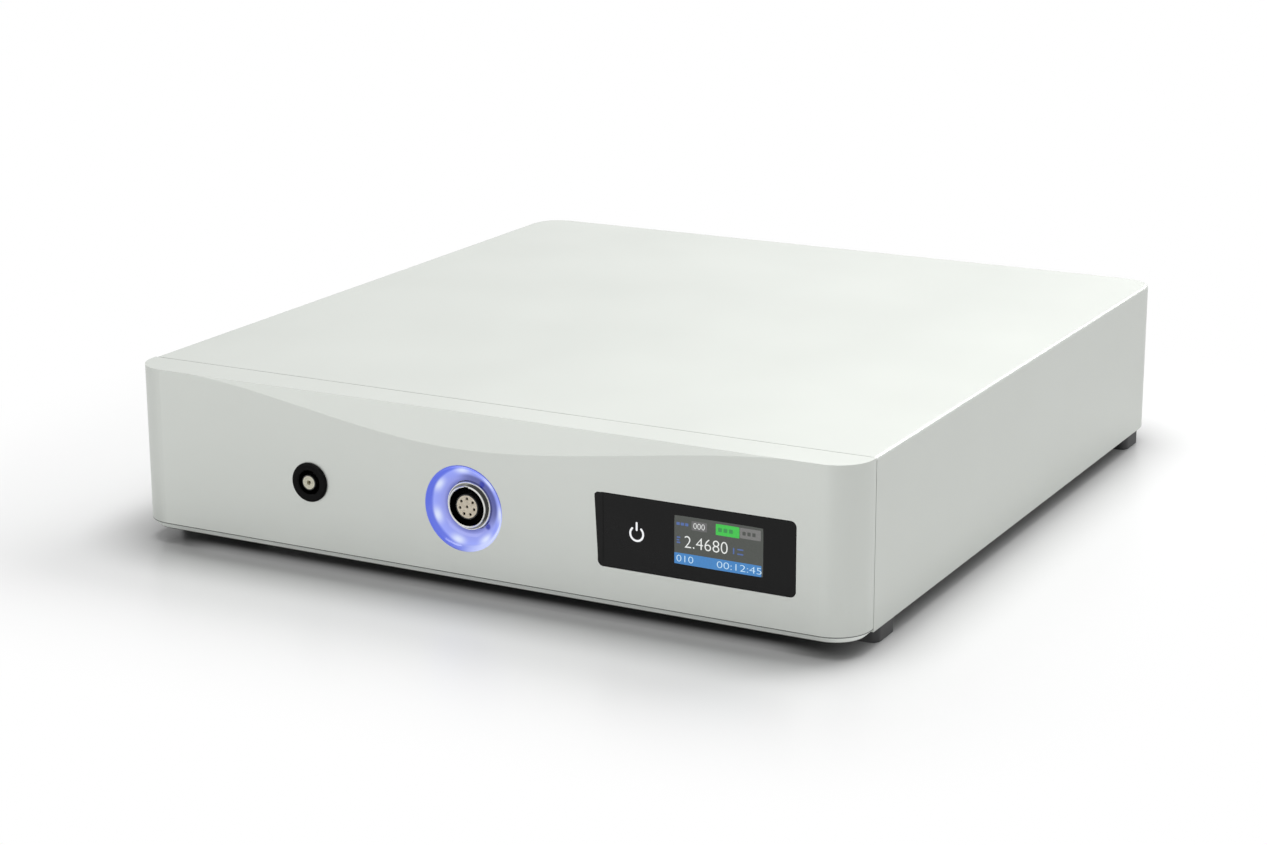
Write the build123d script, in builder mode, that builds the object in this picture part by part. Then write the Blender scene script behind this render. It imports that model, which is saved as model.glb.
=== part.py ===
from build123d import *
from math import cos, pi, radians, sin, tan
import os

os.makedirs("parts", exist_ok=True)

# Case
case_width = 290.0
case_depth = 307.0
panel_height = 61.3
panel_depth = 15.0
panel_drop = 1.4
panel_chamfer = 2.5
panel_wall = 5.0
corner_radius = 13.0
cover_wall = 2.0
cover_edge_radius = 1.2
seam = 0.3
tongue_length = 8.0
tongue_rim = 4.0
tongue_bar = 6.0
base_thickness = 2.0
foot_height = 6.6
foot_length = 16.0
foot_width = 30.0
foot_inset = 1.5
foot_corner = 3.0
foot_recess = 2.2
front_foot_setback = 22.0
rear_foot_setback = 10.0

# Wave facet milled along the top of the front
facet_left_margin = 14.0
facet_peak = -6.0
facet_right_margin = 12.0
facet_height = 13.2
facet_tilt = 5.0
facet_lead = 0.4
facet_over = 1.0
facet_clear = 4.0
facet_steps = 12

# Window and screen
window_side_margin = 21.4
window_z = 27.6
window_width = 73.5
window_height = 26.0
window_thickness = 1.5
window_corner = 2.0
window_fit = 0.15
window_sink = 0.1
window_bed = 0.1
window_border = 3.2
window_edge = 0.15
screen_offset = 8.85
screen_z = 28.1
screen_width = 37.0
screen_height = 18.2
screen_thickness = 3.2
screen_corner = 0.6
display_board_width = 84.0
display_board_height = 30.0
display_hole_inset = 3.0
display_hole_depth = 3.5
display_screw_reach = 3.0

# Cell socket and its light ring
cell_x = -3.05
cell_z = 26.85
ring_radius = 15.6
ring_fit = 0.05
ring_lip = 0.4
ring_dish_depth = 4.2
ring_arc_inset = 2.6
ring_arc_rise = 1.4
ring_bore = 9.1
ring_flange_radius = 17.4
ring_flange = 1.3
led_groove_inner = 10.8
led_groove_outer = 14.2
led_groove_depth = 1.2
led_count = 7
led_start = 46.6
led_size = 2.0
led_height = 0.9
board_thickness = 1.6
plate_thickness = 2.0
plate_width = 54.0
plate_height = 32.0
plate_hole_x = 22.5
plate_hole_z = 12.0
plate_hole_depth = 2.0
plate_screw_reach = 4.0
boss_radius = 3.2
shell_nose_depth = 1.9
shell_nose_radius = 7.6
shell_bore = 6.9
shell_collar_depth = 3.4
shell_collar_radius = 8.7
shell_thread_radius = 7.0
shell_length = 22.0
shell_cavity = 9.0
shell_key = 0.9
shell_edge = 0.2
insert_radius = 4.5
insert_depth = 2.4
contact_ring = 2.9
contact_radius = 0.5
contact_bore = 0.28
contact_sink = 0.5
contact_tail = 2.0
contact_count = 7
slip = 0.05
nut_thickness = 3.0
nut_rim = 2.6

# Small sense socket at the left
sense_side_margin = 78.0
sense_z = 27.6
sense_flange_radius = 7.25
sense_stand_out = 1.2
sense_round = 0.8
sense_edge = 0.4
sense_thread_radius = 5.8
sense_length = 14.0
sense_bore = 4.4
sense_cavity = 6.0
sense_insulator_radius = 2.8
sense_insulator_out = 0.9
sense_contact_radius = 0.8
sense_contact_bore = 0.5
sense_contact_tail = 3.0

# Rear panel and what it carries
rear_plate = 2.0
rear_gap = 0.3
rear_rim = 14.0
rear_lap = 4.0
rear_rim_corner = 4.0
rear_flange = 10.0
rear_z = 36.5
rear_side_margin = 3.0
inlet_width = 26.6
inlet_height = 19.6
inlet_wall = 1.3
inlet_depth = 23.0
inlet_cavity = 17.0
inlet_corner = 5.0
inlet_flange_width = 50.0
inlet_flange_height = 24.0
inlet_flange = 2.0
inlet_hole_spacing = 40.0
inlet_pin_pitch = 14.0
inlet_pin_drop = 1.5
inlet_pin_rise = 3.0
inlet_pin_width = 2.0
inlet_pin_height = 4.0
inlet_pin_tail = 8.0
inlet_pin_sink = 3.0
switch_width = 12.8
switch_height = 19.2
switch_border = 1.2
switch_corner = 1.0
switch_flange = 1.4
switch_depth = 16.0
switch_well = 11.0
switch_tab_x = 3.0
switch_tab_drop = 5.0
rocker_radius = 7.6
rocker_width = 9.2
rocker_gap = 0.35
rocker_side_gap = 0.3
rocker_tilt = 10.0
rocker_front = 4.4
rocker_dip = 1.3
rocker_back = 3.0
rocker_sink = 2.4
rocker_pin = 1.0
rocker_pin_length = 1.0
fan_size = 40.0
fan_depth = 20.0
fan_corner = 2.0
fan_screw_length = 20.0
fan_bore = 19.2
fan_hole_pitch = 32.0
fan_hole_radius = 2.0
fan_tip_gap = 0.6
fan_hub_radius = 10.5
fan_hub_wall = 1.2
fan_hub_depth = 13.0
fan_blades = 7
fan_blade_chord = 11.5
fan_blade_thickness = 1.0
fan_root_pitch = 38.0
fan_tip_pitch = 56.0
fan_stator_radius = 8.4
fan_shaft_radius = 1.5
fan_support = 2.0
fan_spoke_width = 3.0
fan_spokes = 3
fan_spoke_start = 30.0
fan_guard = 1.5
grille_bar = 2.0
grille_rings = 4
grille_hub = 4.0
grille_lap = 1.0
network_width = 16.0
network_height = 13.4
network_length = 21.0
network_mouth_width = 11.8
network_mouth_height = 7.0
network_mouth_depth = 14.0
network_key_width = 6.0
network_key_height = 2.6
network_floor = 2.0
usb_width = 9.0
usb_height = 3.3
usb_length = 10.0
usb_wall = 0.35
usb_tongue_width = 6.4
usb_tongue_height = 0.8
usb_back = 1.0
cutout_gap = 0.3
bnc_count = 3
bnc_radius = 4.8
bnc_bore = 4.1
bnc_reach = 11.0
bnc_flange = 1.5
bnc_flange_radius = 7.0
bnc_thread = 4.6
bnc_back = 9.0
bnc_insulator = 2.4
bnc_insulator_reach = 10.0
bnc_contact = 0.9
bnc_contact_bore = 0.55
bnc_contact_tail = 3.0
bnc_contact_reach = 9.0
bnc_lug_radius = 1.0
bnc_lug_height = 0.9
bnc_lug_setback = 4.0
earth_bore = 2.0
earth_radius = 4.2
earth_flange_radius = 5.5
earth_flange = 1.5
earth_reach = 3.0
earth_back = 14.0
earth_bore_depth = 16.0

# Boards inside
standoff_height = 8.0
standoff_radius = 3.0
board_hole_inset = 5.0
measure_x = -19.0
measure_width = 162.0
measure_setback = 34.0
board_side_gap = 14.0
board_row_gap = 24.7
board_rear_gap = 4.0
board_screw_reach = 5.0
main_fan_gap = 1.1
main_hole_inset = 14.0
supply_width = 92.0
supply_front_gap = 6.7
supply_rear_gap = 46.0
shield_width = 110.0
shield_length = 84.0
shield_height = 15.0
shield_wall = 0.8
shield_corner = 2.0
shield_offset = 8.0
relay_length = 15.0
relay_width = 8.0
relay_height = 9.0
relay_pitch_x = 22.0
relay_pitch_y = 18.0
relay_columns = 4
amplifier_length = 9.0
amplifier_width = 6.0
amplifier_pitch_x = 20.0
amplifier_pitch_y = 16.0
amplifier_columns = 5
measure_row_offset = 20.0
chip_height = 1.6
processor_size = 24.0
processor_offset_x = 24.0
processor_offset_y = 4.0
memory_offset = 44.0
memory_length = 14.0
memory_width = 10.0
memory_pitch_x = 22.0
memory_pitch_y = 16.0
sink_size = 32.0
sink_fin = 1.4
sink_fins = 8
sink_height = 14.0
sink_floor = 3.0

# Power supply on its board
core_width = 36.0
core_depth = 14.0
core_height = 28.0
core_limb = 6.0
winding_length = 26.0
winding_corner = 4.0
capacitor_radius = 8.0
capacitor_height = 26.0
capacitor_edge = 0.8
capacitor_offset = 6.0
capacitor_pitch = 20.0
capacitor_inset = 20.0
heat_sink_length = 70.0
heat_sink_height = 26.0
heat_sink_plate = 3.0
heat_sink_fin = 2.0
heat_sink_fins = 7
heat_sink_reach = 10.0
heat_sink_inset = 16.0
terminal_width = 44.0
terminal_depth = 9.0
terminal_height = 10.0
terminal_pitch = 8.0
terminal_count = 5
terminal_hole = 2.0
terminal_hole_depth = 1.5

# Ribbons and wires
link_width = 24.0
link_bend = 1.8
link_run = 3.0
link_rise = 4.0
display_link_width = 8.0
display_link_inset = 12.5
cell_flex_width = 10.0
link_thickness = 0.3
link_landing = 8.0
display_link_drop = 6.0
ribbon_slack = 8.0
ribbon_toe = 2.0
wire_radius = 1.1
wire_bend = 3.5
wire_run_share = 0.3

# Screws
thread_radius = 1.25
screw_radius = 1.2
head_radius = 2.6
head_height = 1.8
sunk_head_radius = 2.8
driver_radius = 1.1
driver_depth = 1.0
head_clear = 0.4
hole_floor = 1.0
screw_end = 1.0
base_screw_length = 7.0
block_size = 12.0
block_height = 9.0
block_count = 3
block_front_setback = 52.0
block_rear_setback = 39.0
tongue_screw_margin = 33.0
tongue_screw_shift = 0.5
tongue_screw_count = 4
flange_screw_margin = 19.0
flange_screw_count = 4

# Air slots in the base
slot_length = 34.0
slot_width = 3.0
slot_pitch_x = 44.0
slot_pitch_y = 8.0
slot_columns = 3
slot_rows = 6

# Levels and reference planes worked out from the sizes above
rear_stand_out = bnc_reach + bnc_flange - cover_wall - rear_gap
front_y = (sense_stand_out - case_depth - rear_stand_out) / 2
rear_y = front_y + case_depth
panel_back = front_y + panel_depth
wall_back = front_y + panel_wall
cover_front = panel_back + seam
half_width = case_width / 2
inner_half = half_width - cover_wall
facet_left = facet_left_margin - half_width
facet_right = half_width - facet_right_margin
window_x = half_width - window_side_margin - window_width / 2
screen_x = window_x + screen_offset
sense_x = sense_side_margin - half_width
base_bottom = foot_height
base_top = base_bottom + base_thickness
panel_bottom = foot_height - panel_drop
top_z = panel_bottom + panel_height
inner_top = top_z - cover_wall
tongue_half = inner_half - seam
tongue_top = inner_top - seam
tongue_end = panel_back + tongue_length
rear_outer = rear_y - cover_wall - rear_gap
rear_inner = rear_outer - rear_plate
rear_half = inner_half - corner_radius
board_bottom = base_top + standoff_height
board_top = board_bottom + board_thickness
cell_axis_z = panel_bottom + cell_z
sense_axis_z = panel_bottom + sense_z
plate_front = wall_back + ring_flange + slip + board_thickness
pocket_low = base_top + tongue_bar
pocket_high = tongue_top - tongue_rim
sink = sunk_head_radius - screw_radius


def facing_front(y):
    """Plane at depth y that looks out of the front, so a negative extrusion runs to the rear."""
    return Plane.XZ.offset(-y)


def facing_rear(y):
    """Plane at depth y that looks out of the rear; its x runs to the left seen from the front."""
    return Plane(origin=(0, y, 0), x_dir=(-1, 0, 0), z_dir=(0, 1, 0))


def turning_plane(x, y, z):
    """Plane for a profile of (radius, depth) about a front-to-rear axis through the point."""
    return Plane(origin=(x, y, z))


def depth_axis(x, z):
    """Front-to-rear axis through x and z."""
    return Axis((x, 0, z), (0, 1, 0))


def facet_depth(x):
    """Height of the facet below the top edge: a smooth step up to the peak and a smooth step down."""
    if x < facet_peak:
        share = (x - facet_left) / (facet_peak - facet_left)
    else:
        share = (facet_right - x) / (facet_right - facet_peak)
    return -facet_lead + (facet_height + facet_lead) * share * share * (3 - 2 * share)


def spaced(low, high, count):
    """Places at equal steps from low to high."""
    return [low + (high - low) * i / (count - 1) for i in range(count)]


def spread(widths, low, high):
    """Middles of pieces of these widths that stand in a row from low to high with equal gaps."""
    gap = (high - low - sum(widths)) / (len(widths) - 1)
    middles = []
    edge = low
    for width in widths:
        middles.append(edge + width / 2)
        edge += width + gap
    return middles


def around(centre_x, centre_y, half_x, half_y):
    """Four places at the corners of a rectangle about a middle."""
    return [(centre_x + i * half_x, centre_y + j * half_y) for i in (-1, 1) for j in (-1, 1)]


def corners(centre_x, centre_y, width, length, inset):
    """Four hole places inset from the corners of a rectangle."""
    return around(centre_x, centre_y, width / 2 - inset, length / 2 - inset)


def pan_screw(length):
    """Pan head screw, head up, seated at the origin, with a hexagon socket."""
    with BuildPart() as screw:
        Cylinder(head_radius, head_height, align=(Align.CENTER, Align.CENTER, Align.MIN))
        Cylinder(screw_radius, length, align=(Align.CENTER, Align.CENTER, Align.MAX))
        with BuildSketch(Plane.XY.offset(head_height)):
            RegularPolygon(driver_radius, 6)
        extrude(amount=-driver_depth, mode=Mode.SUBTRACT)
    return screw.part


def ribbon(route, bend, middle_x, width):
    """Flat flexible ribbon: a thin band along a route of (y, z) points, spread across its width."""
    with BuildPart() as band:
        with BuildSketch(Plane.YZ.offset(middle_x)):
            with BuildLine() as path:
                FilletPolyline(*route, radius=bend)
            trace(line_width=link_thickness)
        extrude(amount=width / 2, both=True)
    return band.part


def sunk_screw(length):
    """Countersunk screw, head up and flush at the origin, with a hexagon socket."""
    with BuildPart() as screw:
        with BuildSketch(Plane.XZ):
            with BuildLine():
                Polyline(
                    (0, 0),
                    (sunk_head_radius - slip, 0),
                    (screw_radius, -sink),
                    (screw_radius, -length),
                    (0, -length),
                    close=True,
                )
            make_face()
        revolve(axis=Axis.Z)
        with BuildSketch(Plane.XY):
            RegularPolygon(driver_radius, 6)
        extrude(amount=-driver_depth, mode=Mode.SUBTRACT)
    return screw.part


def finish(builder, name):
    """Label the piece with its node name and write it."""
    builder.part.label = name
    export_step(builder.part, f"parts/{name}.step")


# Fixing places shared by the plates and their screws
block_x = inner_half - block_size / 2
block_ys = spaced(front_y + block_front_setback, rear_y - block_rear_setback, block_count)
block_places = [(i * block_x, y) for i in (-1, 1) for y in block_ys]
tongue_screw_x = half_width - tongue_screw_margin
tongue_screw_y = panel_back + tongue_length / 2 + tongue_screw_shift
tongue_places = [(x, tongue_screw_y) for x in spaced(-tongue_screw_x, tongue_screw_x, tongue_screw_count)]
flange_screw_x = half_width - flange_screw_margin
flange_y = rear_inner - rear_flange / 2
flange_places = [(x, flange_y) for x in spaced(-flange_screw_x, flange_screw_x, flange_screw_count)]
foot_x = half_width - foot_inset - foot_width / 2
front_foot_y = front_y + front_foot_setback + foot_length / 2
rear_foot_y = rear_y - rear_foot_setback - foot_length / 2
foot_places = [(i * foot_x, y) for i in (-1, 1) for y in (front_foot_y, rear_foot_y)]
plate_places = around(cell_x, cell_axis_z, plate_hole_x, plate_hole_z)
window_mid_z = panel_bottom + window_z
display_places = corners(window_x, window_mid_z, display_board_width, display_board_height, display_hole_inset)

# Sockets, switch, fan and inlet in one row along the rear, from the left seen from the front
row_end = rear_half - rear_lap - rear_side_margin
row_widths = [2 * bnc_flange_radius] * bnc_count + [
    usb_width,
    network_width,
    2 * earth_flange_radius,
    fan_size,
    switch_width + 2 * switch_border,
    inlet_flange_width,
]
*bnc_places, usb_x, network_x, earth_x, fan_x, switch_x, inlet_x = spread(row_widths, -row_end, row_end)

# Boards in two rows between the front and the rear
measure_front = front_y + measure_setback
main_rear = rear_inner - board_rear_gap
board_length = (main_rear - measure_front - board_row_gap) / 2
measure_rear = measure_front + board_length
measure_y = (measure_front + measure_rear) / 2
main_front = main_rear - board_length
main_y = (main_front + main_rear) / 2
main_left = board_side_gap - inner_half
main_right = fan_x - fan_size / 2 - main_fan_gap
main_width = main_right - main_left
main_x = (main_left + main_right) / 2
supply_front = measure_rear + supply_front_gap
supply_rear = rear_inner - supply_rear_gap
supply_length = supply_rear - supply_front
supply_y = (supply_front + supply_rear) / 2
supply_x = inner_half - board_side_gap - supply_width / 2
measure_holes = corners(measure_x, measure_y, measure_width, board_length, board_hole_inset)
main_holes = corners(main_x, main_y, main_width, board_length, main_hole_inset)
supply_holes = corners(supply_x, supply_y, supply_width, supply_length, board_hole_inset)
board_places = measure_holes + main_holes + supply_holes
fan_places = around(fan_x, rear_z, fan_hole_pitch / 2, fan_hole_pitch / 2)
inlet_places = [inlet_x - inlet_hole_spacing / 2, inlet_x + inlet_hole_spacing / 2]

# Front panel: machined block with the wave facet, the openings and a tongue inside the cover
with BuildPart() as front_panel:
    with BuildSketch(Plane.XY.offset(panel_bottom)):
        with Locations((0, front_y + panel_depth / 2)):
            Rectangle(case_width, panel_depth)
        fillet(vertices().group_by(Axis.Y)[0], corner_radius)
    extrude(amount=panel_height)
    chamfer(faces().sort_by(Axis.Z)[0].edges().sort_by(Axis.Y)[:-1], panel_chamfer)
    with BuildSketch(facing_front(panel_back)):
        with Locations((0, (base_top + tongue_top) / 2)):
            Rectangle(2 * tongue_half, tongue_top - base_top)
    extrude(amount=-tongue_length)
    with BuildSketch(facing_front(tongue_end)):
        with Locations((0, (pocket_low + pocket_high) / 2)):
            Rectangle(2 * (tongue_half - tongue_rim), pocket_high - pocket_low)
    extrude(amount=tongue_end - wall_back, mode=Mode.SUBTRACT)
    with BuildSketch(facing_front(wall_back)):
        with Locations(*plate_places):
            Circle(boss_radius)
    extrude(amount=wall_back - plate_front)
    facet_lean = tan(radians(facet_tilt))
    facet_xs = spaced(facet_left, facet_right, facet_steps + 1)
    facet_points = [(x, front_y + (facet_depth(x) + facet_over) * facet_lean) for x in facet_xs]
    with BuildSketch(Plane.XY.offset(top_z + facet_over)):
        with BuildLine():
            Spline(*facet_points, tangents=((1, 0), (1, 0)))
            Polyline(
                facet_points[-1],
                (half_width + facet_clear, facet_points[-1][1]),
                (half_width + facet_clear, front_y - facet_clear),
                (-half_width - facet_clear, front_y - facet_clear),
                (-half_width - facet_clear, facet_points[0][1]),
                facet_points[0],
            )
        make_face()
    extrude(amount=facet_height + 2 * facet_clear, dir=(0, -facet_lean, -1), mode=Mode.SUBTRACT)
    with BuildSketch(facing_front(front_y)):
        with Locations((cell_x, cell_axis_z)):
            Circle(ring_radius)
        with Locations((sense_x, sense_axis_z)):
            Circle(sense_thread_radius + slip)
        with Locations((window_x, window_mid_z)):
            Rectangle(window_width - 2 * window_border, window_height - 2 * window_border)
    extrude(amount=-panel_wall, mode=Mode.SUBTRACT)
    with BuildSketch(facing_front(front_y)):
        with Locations((window_x, window_mid_z)):
            RectangleRounded(
                window_width + 2 * window_fit,
                window_height + 2 * window_fit,
                window_corner + window_fit,
            )
    extrude(amount=-(window_sink + window_thickness + window_bed), mode=Mode.SUBTRACT)
    with BuildSketch(facing_front(plate_front)):
        with Locations(*plate_places):
            Circle(thread_radius)
    extrude(amount=plate_front - wall_back + plate_hole_depth, mode=Mode.SUBTRACT)
    with BuildSketch(facing_front(wall_back)):
        with Locations(*display_places):
            Circle(thread_radius)
    extrude(amount=display_hole_depth, mode=Mode.SUBTRACT)
    with BuildSketch(Plane.XY.offset(base_top)):
        with Locations(*tongue_places):
            Circle(thread_radius)
    extrude(amount=tongue_bar - hole_floor, mode=Mode.SUBTRACT)
finish(front_panel, "front_panel")

# Top cover: top, sides and rear wall in one shell with rounded rear corners
with BuildPart() as top_cover:
    with BuildSketch(Plane.XY.offset(base_bottom)):
        with Locations((0, (cover_front + rear_y) / 2)):
            Rectangle(case_width, rear_y - cover_front)
        fillet(vertices().group_by(Axis.Y)[-1], corner_radius)
    extrude(amount=top_z - base_bottom)
    fillet(faces().sort_by(Axis.Z)[-1].edges().sort_by(Axis.Y)[1:], cover_edge_radius)
    with BuildSketch(Plane.XY.offset(base_bottom)):
        with Locations((0, (cover_front + rear_y - cover_wall) / 2)):
            Rectangle(2 * inner_half, rear_y - cover_wall - cover_front)
        fillet(vertices().group_by(Axis.Y)[-1], corner_radius - cover_wall)
    extrude(amount=inner_top - base_bottom, mode=Mode.SUBTRACT)
    with BuildSketch(facing_front(rear_y)):
        with Locations((0, (base_bottom + top_z) / 2)):
            RectangleRounded(
                2 * (rear_half - rear_lap),
                top_z - base_bottom - rear_rim,
                rear_rim_corner,
            )
    extrude(amount=2 * cover_wall, both=True, mode=Mode.SUBTRACT)
finish(top_cover, "top_cover")

# Tapped blocks bonded inside the cover's side walls
with BuildPart() as cover_blocks:
    with BuildSketch(Plane.XY.offset(base_top)):
        with Locations(*block_places):
            Rectangle(block_size, block_size)
    extrude(amount=block_height)
    with BuildSketch(Plane.XY.offset(base_top)):
        with Locations(*block_places):
            Circle(thread_radius)
    extrude(amount=block_height - hole_floor, mode=Mode.SUBTRACT)
finish(cover_blocks, "cover_blocks")

# Base plate with air slots, countersunk holes and the feet's holes
base_half = inner_half - seam
base_front = cover_front
base_rear = rear_y - cover_wall - seam
with BuildPart() as base_plate:
    with BuildSketch(Plane.XY.offset(base_bottom)):
        with Locations((0, (base_front + base_rear) / 2)):
            Rectangle(2 * base_half, base_rear - base_front)
        fillet(vertices().group_by(Axis.Y)[-1], corner_radius - cover_wall - seam)
        with Locations((measure_x, measure_y)):
            with GridLocations(slot_pitch_x, slot_pitch_y, slot_columns, slot_rows):
                SlotOverall(slot_length, slot_width, mode=Mode.SUBTRACT)
        with Locations(*board_places):
            Circle(thread_radius, mode=Mode.SUBTRACT)
        with Locations(*foot_places):
            Circle(thread_radius, mode=Mode.SUBTRACT)
    extrude(amount=base_thickness)
    with Locations(Plane.XY.offset(base_bottom).rotated((180, 0, 0))):
        with Locations(*[(x, -y) for x, y in block_places + tongue_places + flange_places]):
            CounterSinkHole(thread_radius, sunk_head_radius)
finish(base_plate, "base_plate")

# Feet: dark rectangular blocks with a sunk screw hole
with BuildPart() as feet:
    with BuildSketch():
        with Locations(*foot_places):
            RectangleRounded(foot_width, foot_length, foot_corner)
    extrude(amount=foot_height)
    with BuildSketch():
        with Locations(*foot_places):
            Circle(head_radius + head_clear)
    extrude(amount=foot_recess, mode=Mode.SUBTRACT)
    with BuildSketch():
        with Locations(*foot_places):
            Circle(thread_radius)
    extrude(amount=foot_height, mode=Mode.SUBTRACT)
finish(feet, "feet")

# Screws that come up through the base and the feet
with BuildPart() as base_screws:
    with Locations(*[Location((x, y, base_bottom), (180, 0, 0)) for x, y in block_places + tongue_places]):
        add(sunk_screw(base_screw_length))
    with Locations(*[Location((x, y, base_bottom), (180, 0, 0)) for x, y in flange_places]):
        add(sunk_screw(base_thickness + rear_plate + screw_end))
finish(base_screws, "base_screws")

with BuildPart() as foot_screws:
    with Locations(*[Location((x, y, foot_recess), (180, 0, 0)) for x, y in foot_places]):
        add(pan_screw(foot_height - foot_recess + base_thickness))
finish(foot_screws, "foot_screws")

# Window, screen and the board behind them
with BuildPart() as display_window:
    with BuildSketch(facing_front(front_y + window_sink)):
        with Locations((window_x, window_mid_z)):
            RectangleRounded(window_width, window_height, window_corner)
    extrude(amount=-window_thickness)
    chamfer(faces().sort_by(Axis.Y)[0].edges(), window_edge)
finish(display_window, "display_window")

window_back = front_y + window_sink + window_thickness
with BuildPart() as lcd_module:
    with BuildSketch(facing_front(window_back + window_bed)):
        with Locations((screen_x, panel_bottom + screen_z)):
            RectangleRounded(screen_width, screen_height, screen_corner)
    extrude(amount=-screen_thickness)
finish(lcd_module, "lcd_module")

with BuildPart() as display_board:
    with BuildSketch(facing_front(wall_back)):
        with Locations((window_x, window_mid_z)):
            Rectangle(display_board_width, display_board_height)
        with Locations(*display_places):
            Circle(thread_radius, mode=Mode.SUBTRACT)
    extrude(amount=-board_thickness)
finish(display_board, "display_board")

with BuildPart() as display_screws:
    with Locations(*[Location((x, wall_back + board_thickness, z), (-90, 0, 0)) for x, z in display_places]):
        add(pan_screw(board_thickness + display_screw_reach))
finish(display_screws, "display_screws")

# Light ring: a dished clear moulding with a groove behind for the lamps
ring_back = wall_back + slip + ring_flange - front_y
with BuildPart() as light_ring:
    with BuildSketch(turning_plane(cell_x, front_y, cell_axis_z)):
        with BuildLine():
            ring_curve = ThreePointArc(
                (ring_radius - ring_fit - ring_lip, 0),
                (ring_radius - ring_arc_inset, ring_dish_depth - ring_arc_rise),
                (ring_bore, ring_dish_depth),
            )
            Polyline(
                ring_curve @ 1,
                (ring_bore, ring_back),
                (led_groove_inner, ring_back),
                (led_groove_inner, ring_back - led_groove_depth),
                (led_groove_outer, ring_back - led_groove_depth),
                (led_groove_outer, ring_back),
                (ring_flange_radius, ring_back),
                (ring_flange_radius, ring_back - ring_flange),
                (ring_radius - ring_fit, ring_back - ring_flange),
                (ring_radius - ring_fit, 0),
                ring_curve @ 0,
            )
        make_face()
    revolve(axis=depth_axis(cell_x, cell_axis_z))
finish(light_ring, "light_ring")

with BuildPart() as led_board:
    with BuildSketch(facing_front(front_y + ring_back)):
        with Locations((cell_x, cell_axis_z)):
            Circle(ring_flange_radius)
            Circle(ring_bore, mode=Mode.SUBTRACT)
    extrude(amount=-board_thickness)
finish(led_board, "led_board")

with BuildPart() as leds:
    with BuildSketch(facing_front(front_y + ring_back)):
        with Locations((cell_x, cell_axis_z)):
            with PolarLocations((led_groove_inner + led_groove_outer) / 2, led_count, start_angle=led_start):
                Rectangle(led_size, led_size)
    extrude(amount=led_height)
finish(leds, "leds")

# Plate that carries the cell socket behind the ring
with BuildPart() as connector_plate:
    with BuildSketch(facing_front(plate_front)):
        with Locations((cell_x, cell_axis_z)):
            RectangleRounded(plate_width, plate_height, boss_radius)
            Circle(shell_thread_radius + slip, mode=Mode.SUBTRACT)
        with Locations(*plate_places):
            Circle(thread_radius, mode=Mode.SUBTRACT)
    extrude(amount=-plate_thickness)
finish(connector_plate, "connector_plate")

with BuildPart() as plate_screws:
    with Locations(*[Location((x, plate_front + plate_thickness, z), (-90, 0, 0)) for x, z in plate_places]):
        add(pan_screw(plate_thickness + plate_screw_reach))
finish(plate_screws, "plate_screws")

# Cell socket: turned shell with a collar, a nose and a key slot
collar_back = plate_front - front_y
with BuildPart() as cell_socket_shell:
    with BuildSketch(turning_plane(cell_x, front_y, cell_axis_z)):
        with BuildLine():
            Polyline(
                (insert_radius + slip, shell_nose_depth + shell_cavity),
                (shell_bore, shell_nose_depth + shell_cavity),
                (shell_bore, shell_nose_depth + shell_edge),
                (shell_bore + shell_edge, shell_nose_depth),
                (shell_nose_radius - shell_edge, shell_nose_depth),
                (shell_nose_radius, shell_nose_depth + shell_edge),
                (shell_nose_radius, shell_collar_depth),
                (shell_collar_radius - shell_edge, shell_collar_depth),
                (shell_collar_radius, shell_collar_depth + shell_edge),
                (shell_collar_radius, collar_back),
                (shell_thread_radius, collar_back),
                (shell_thread_radius, shell_length),
                (insert_radius + slip, shell_length),
                close=True,
            )
        make_face()
    revolve(axis=depth_axis(cell_x, cell_axis_z))
    with BuildSketch(facing_front(front_y + shell_nose_depth)):
        with Locations((cell_x, cell_axis_z + shell_bore)):
            Rectangle(2 * shell_key, shell_key)
    extrude(amount=-shell_cavity, mode=Mode.SUBTRACT)
finish(cell_socket_shell, "cell_socket_shell")

with BuildPart() as cell_socket_insert:
    with BuildSketch(facing_front(front_y + insert_depth)):
        with Locations((cell_x, cell_axis_z)):
            Circle(insert_radius)
            Circle(contact_radius + slip, mode=Mode.SUBTRACT)
            with PolarLocations(contact_ring, contact_count, start_angle=90):
                Circle(contact_radius + slip, mode=Mode.SUBTRACT)
    extrude(amount=insert_depth - shell_length)
finish(cell_socket_insert, "cell_socket_insert")

with BuildPart() as cell_socket_contacts:
    with BuildSketch(facing_front(front_y + insert_depth + contact_sink)):
        with Locations((cell_x, cell_axis_z)):
            Circle(contact_radius)
            Circle(contact_bore, mode=Mode.SUBTRACT)
            with PolarLocations(contact_ring, contact_count, start_angle=90):
                Circle(contact_radius)
                Circle(contact_bore, mode=Mode.SUBTRACT)
    extrude(amount=insert_depth + contact_sink - shell_length - contact_tail)
finish(cell_socket_contacts, "cell_socket_contacts")

with BuildPart() as cell_socket_nut:
    with BuildSketch(facing_front(plate_front + plate_thickness)):
        with Locations((cell_x, cell_axis_z)):
            RegularPolygon(shell_thread_radius + nut_rim, 6)
            Circle(shell_thread_radius + slip, mode=Mode.SUBTRACT)
    extrude(amount=-nut_thickness)
finish(cell_socket_nut, "cell_socket_nut")

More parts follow.
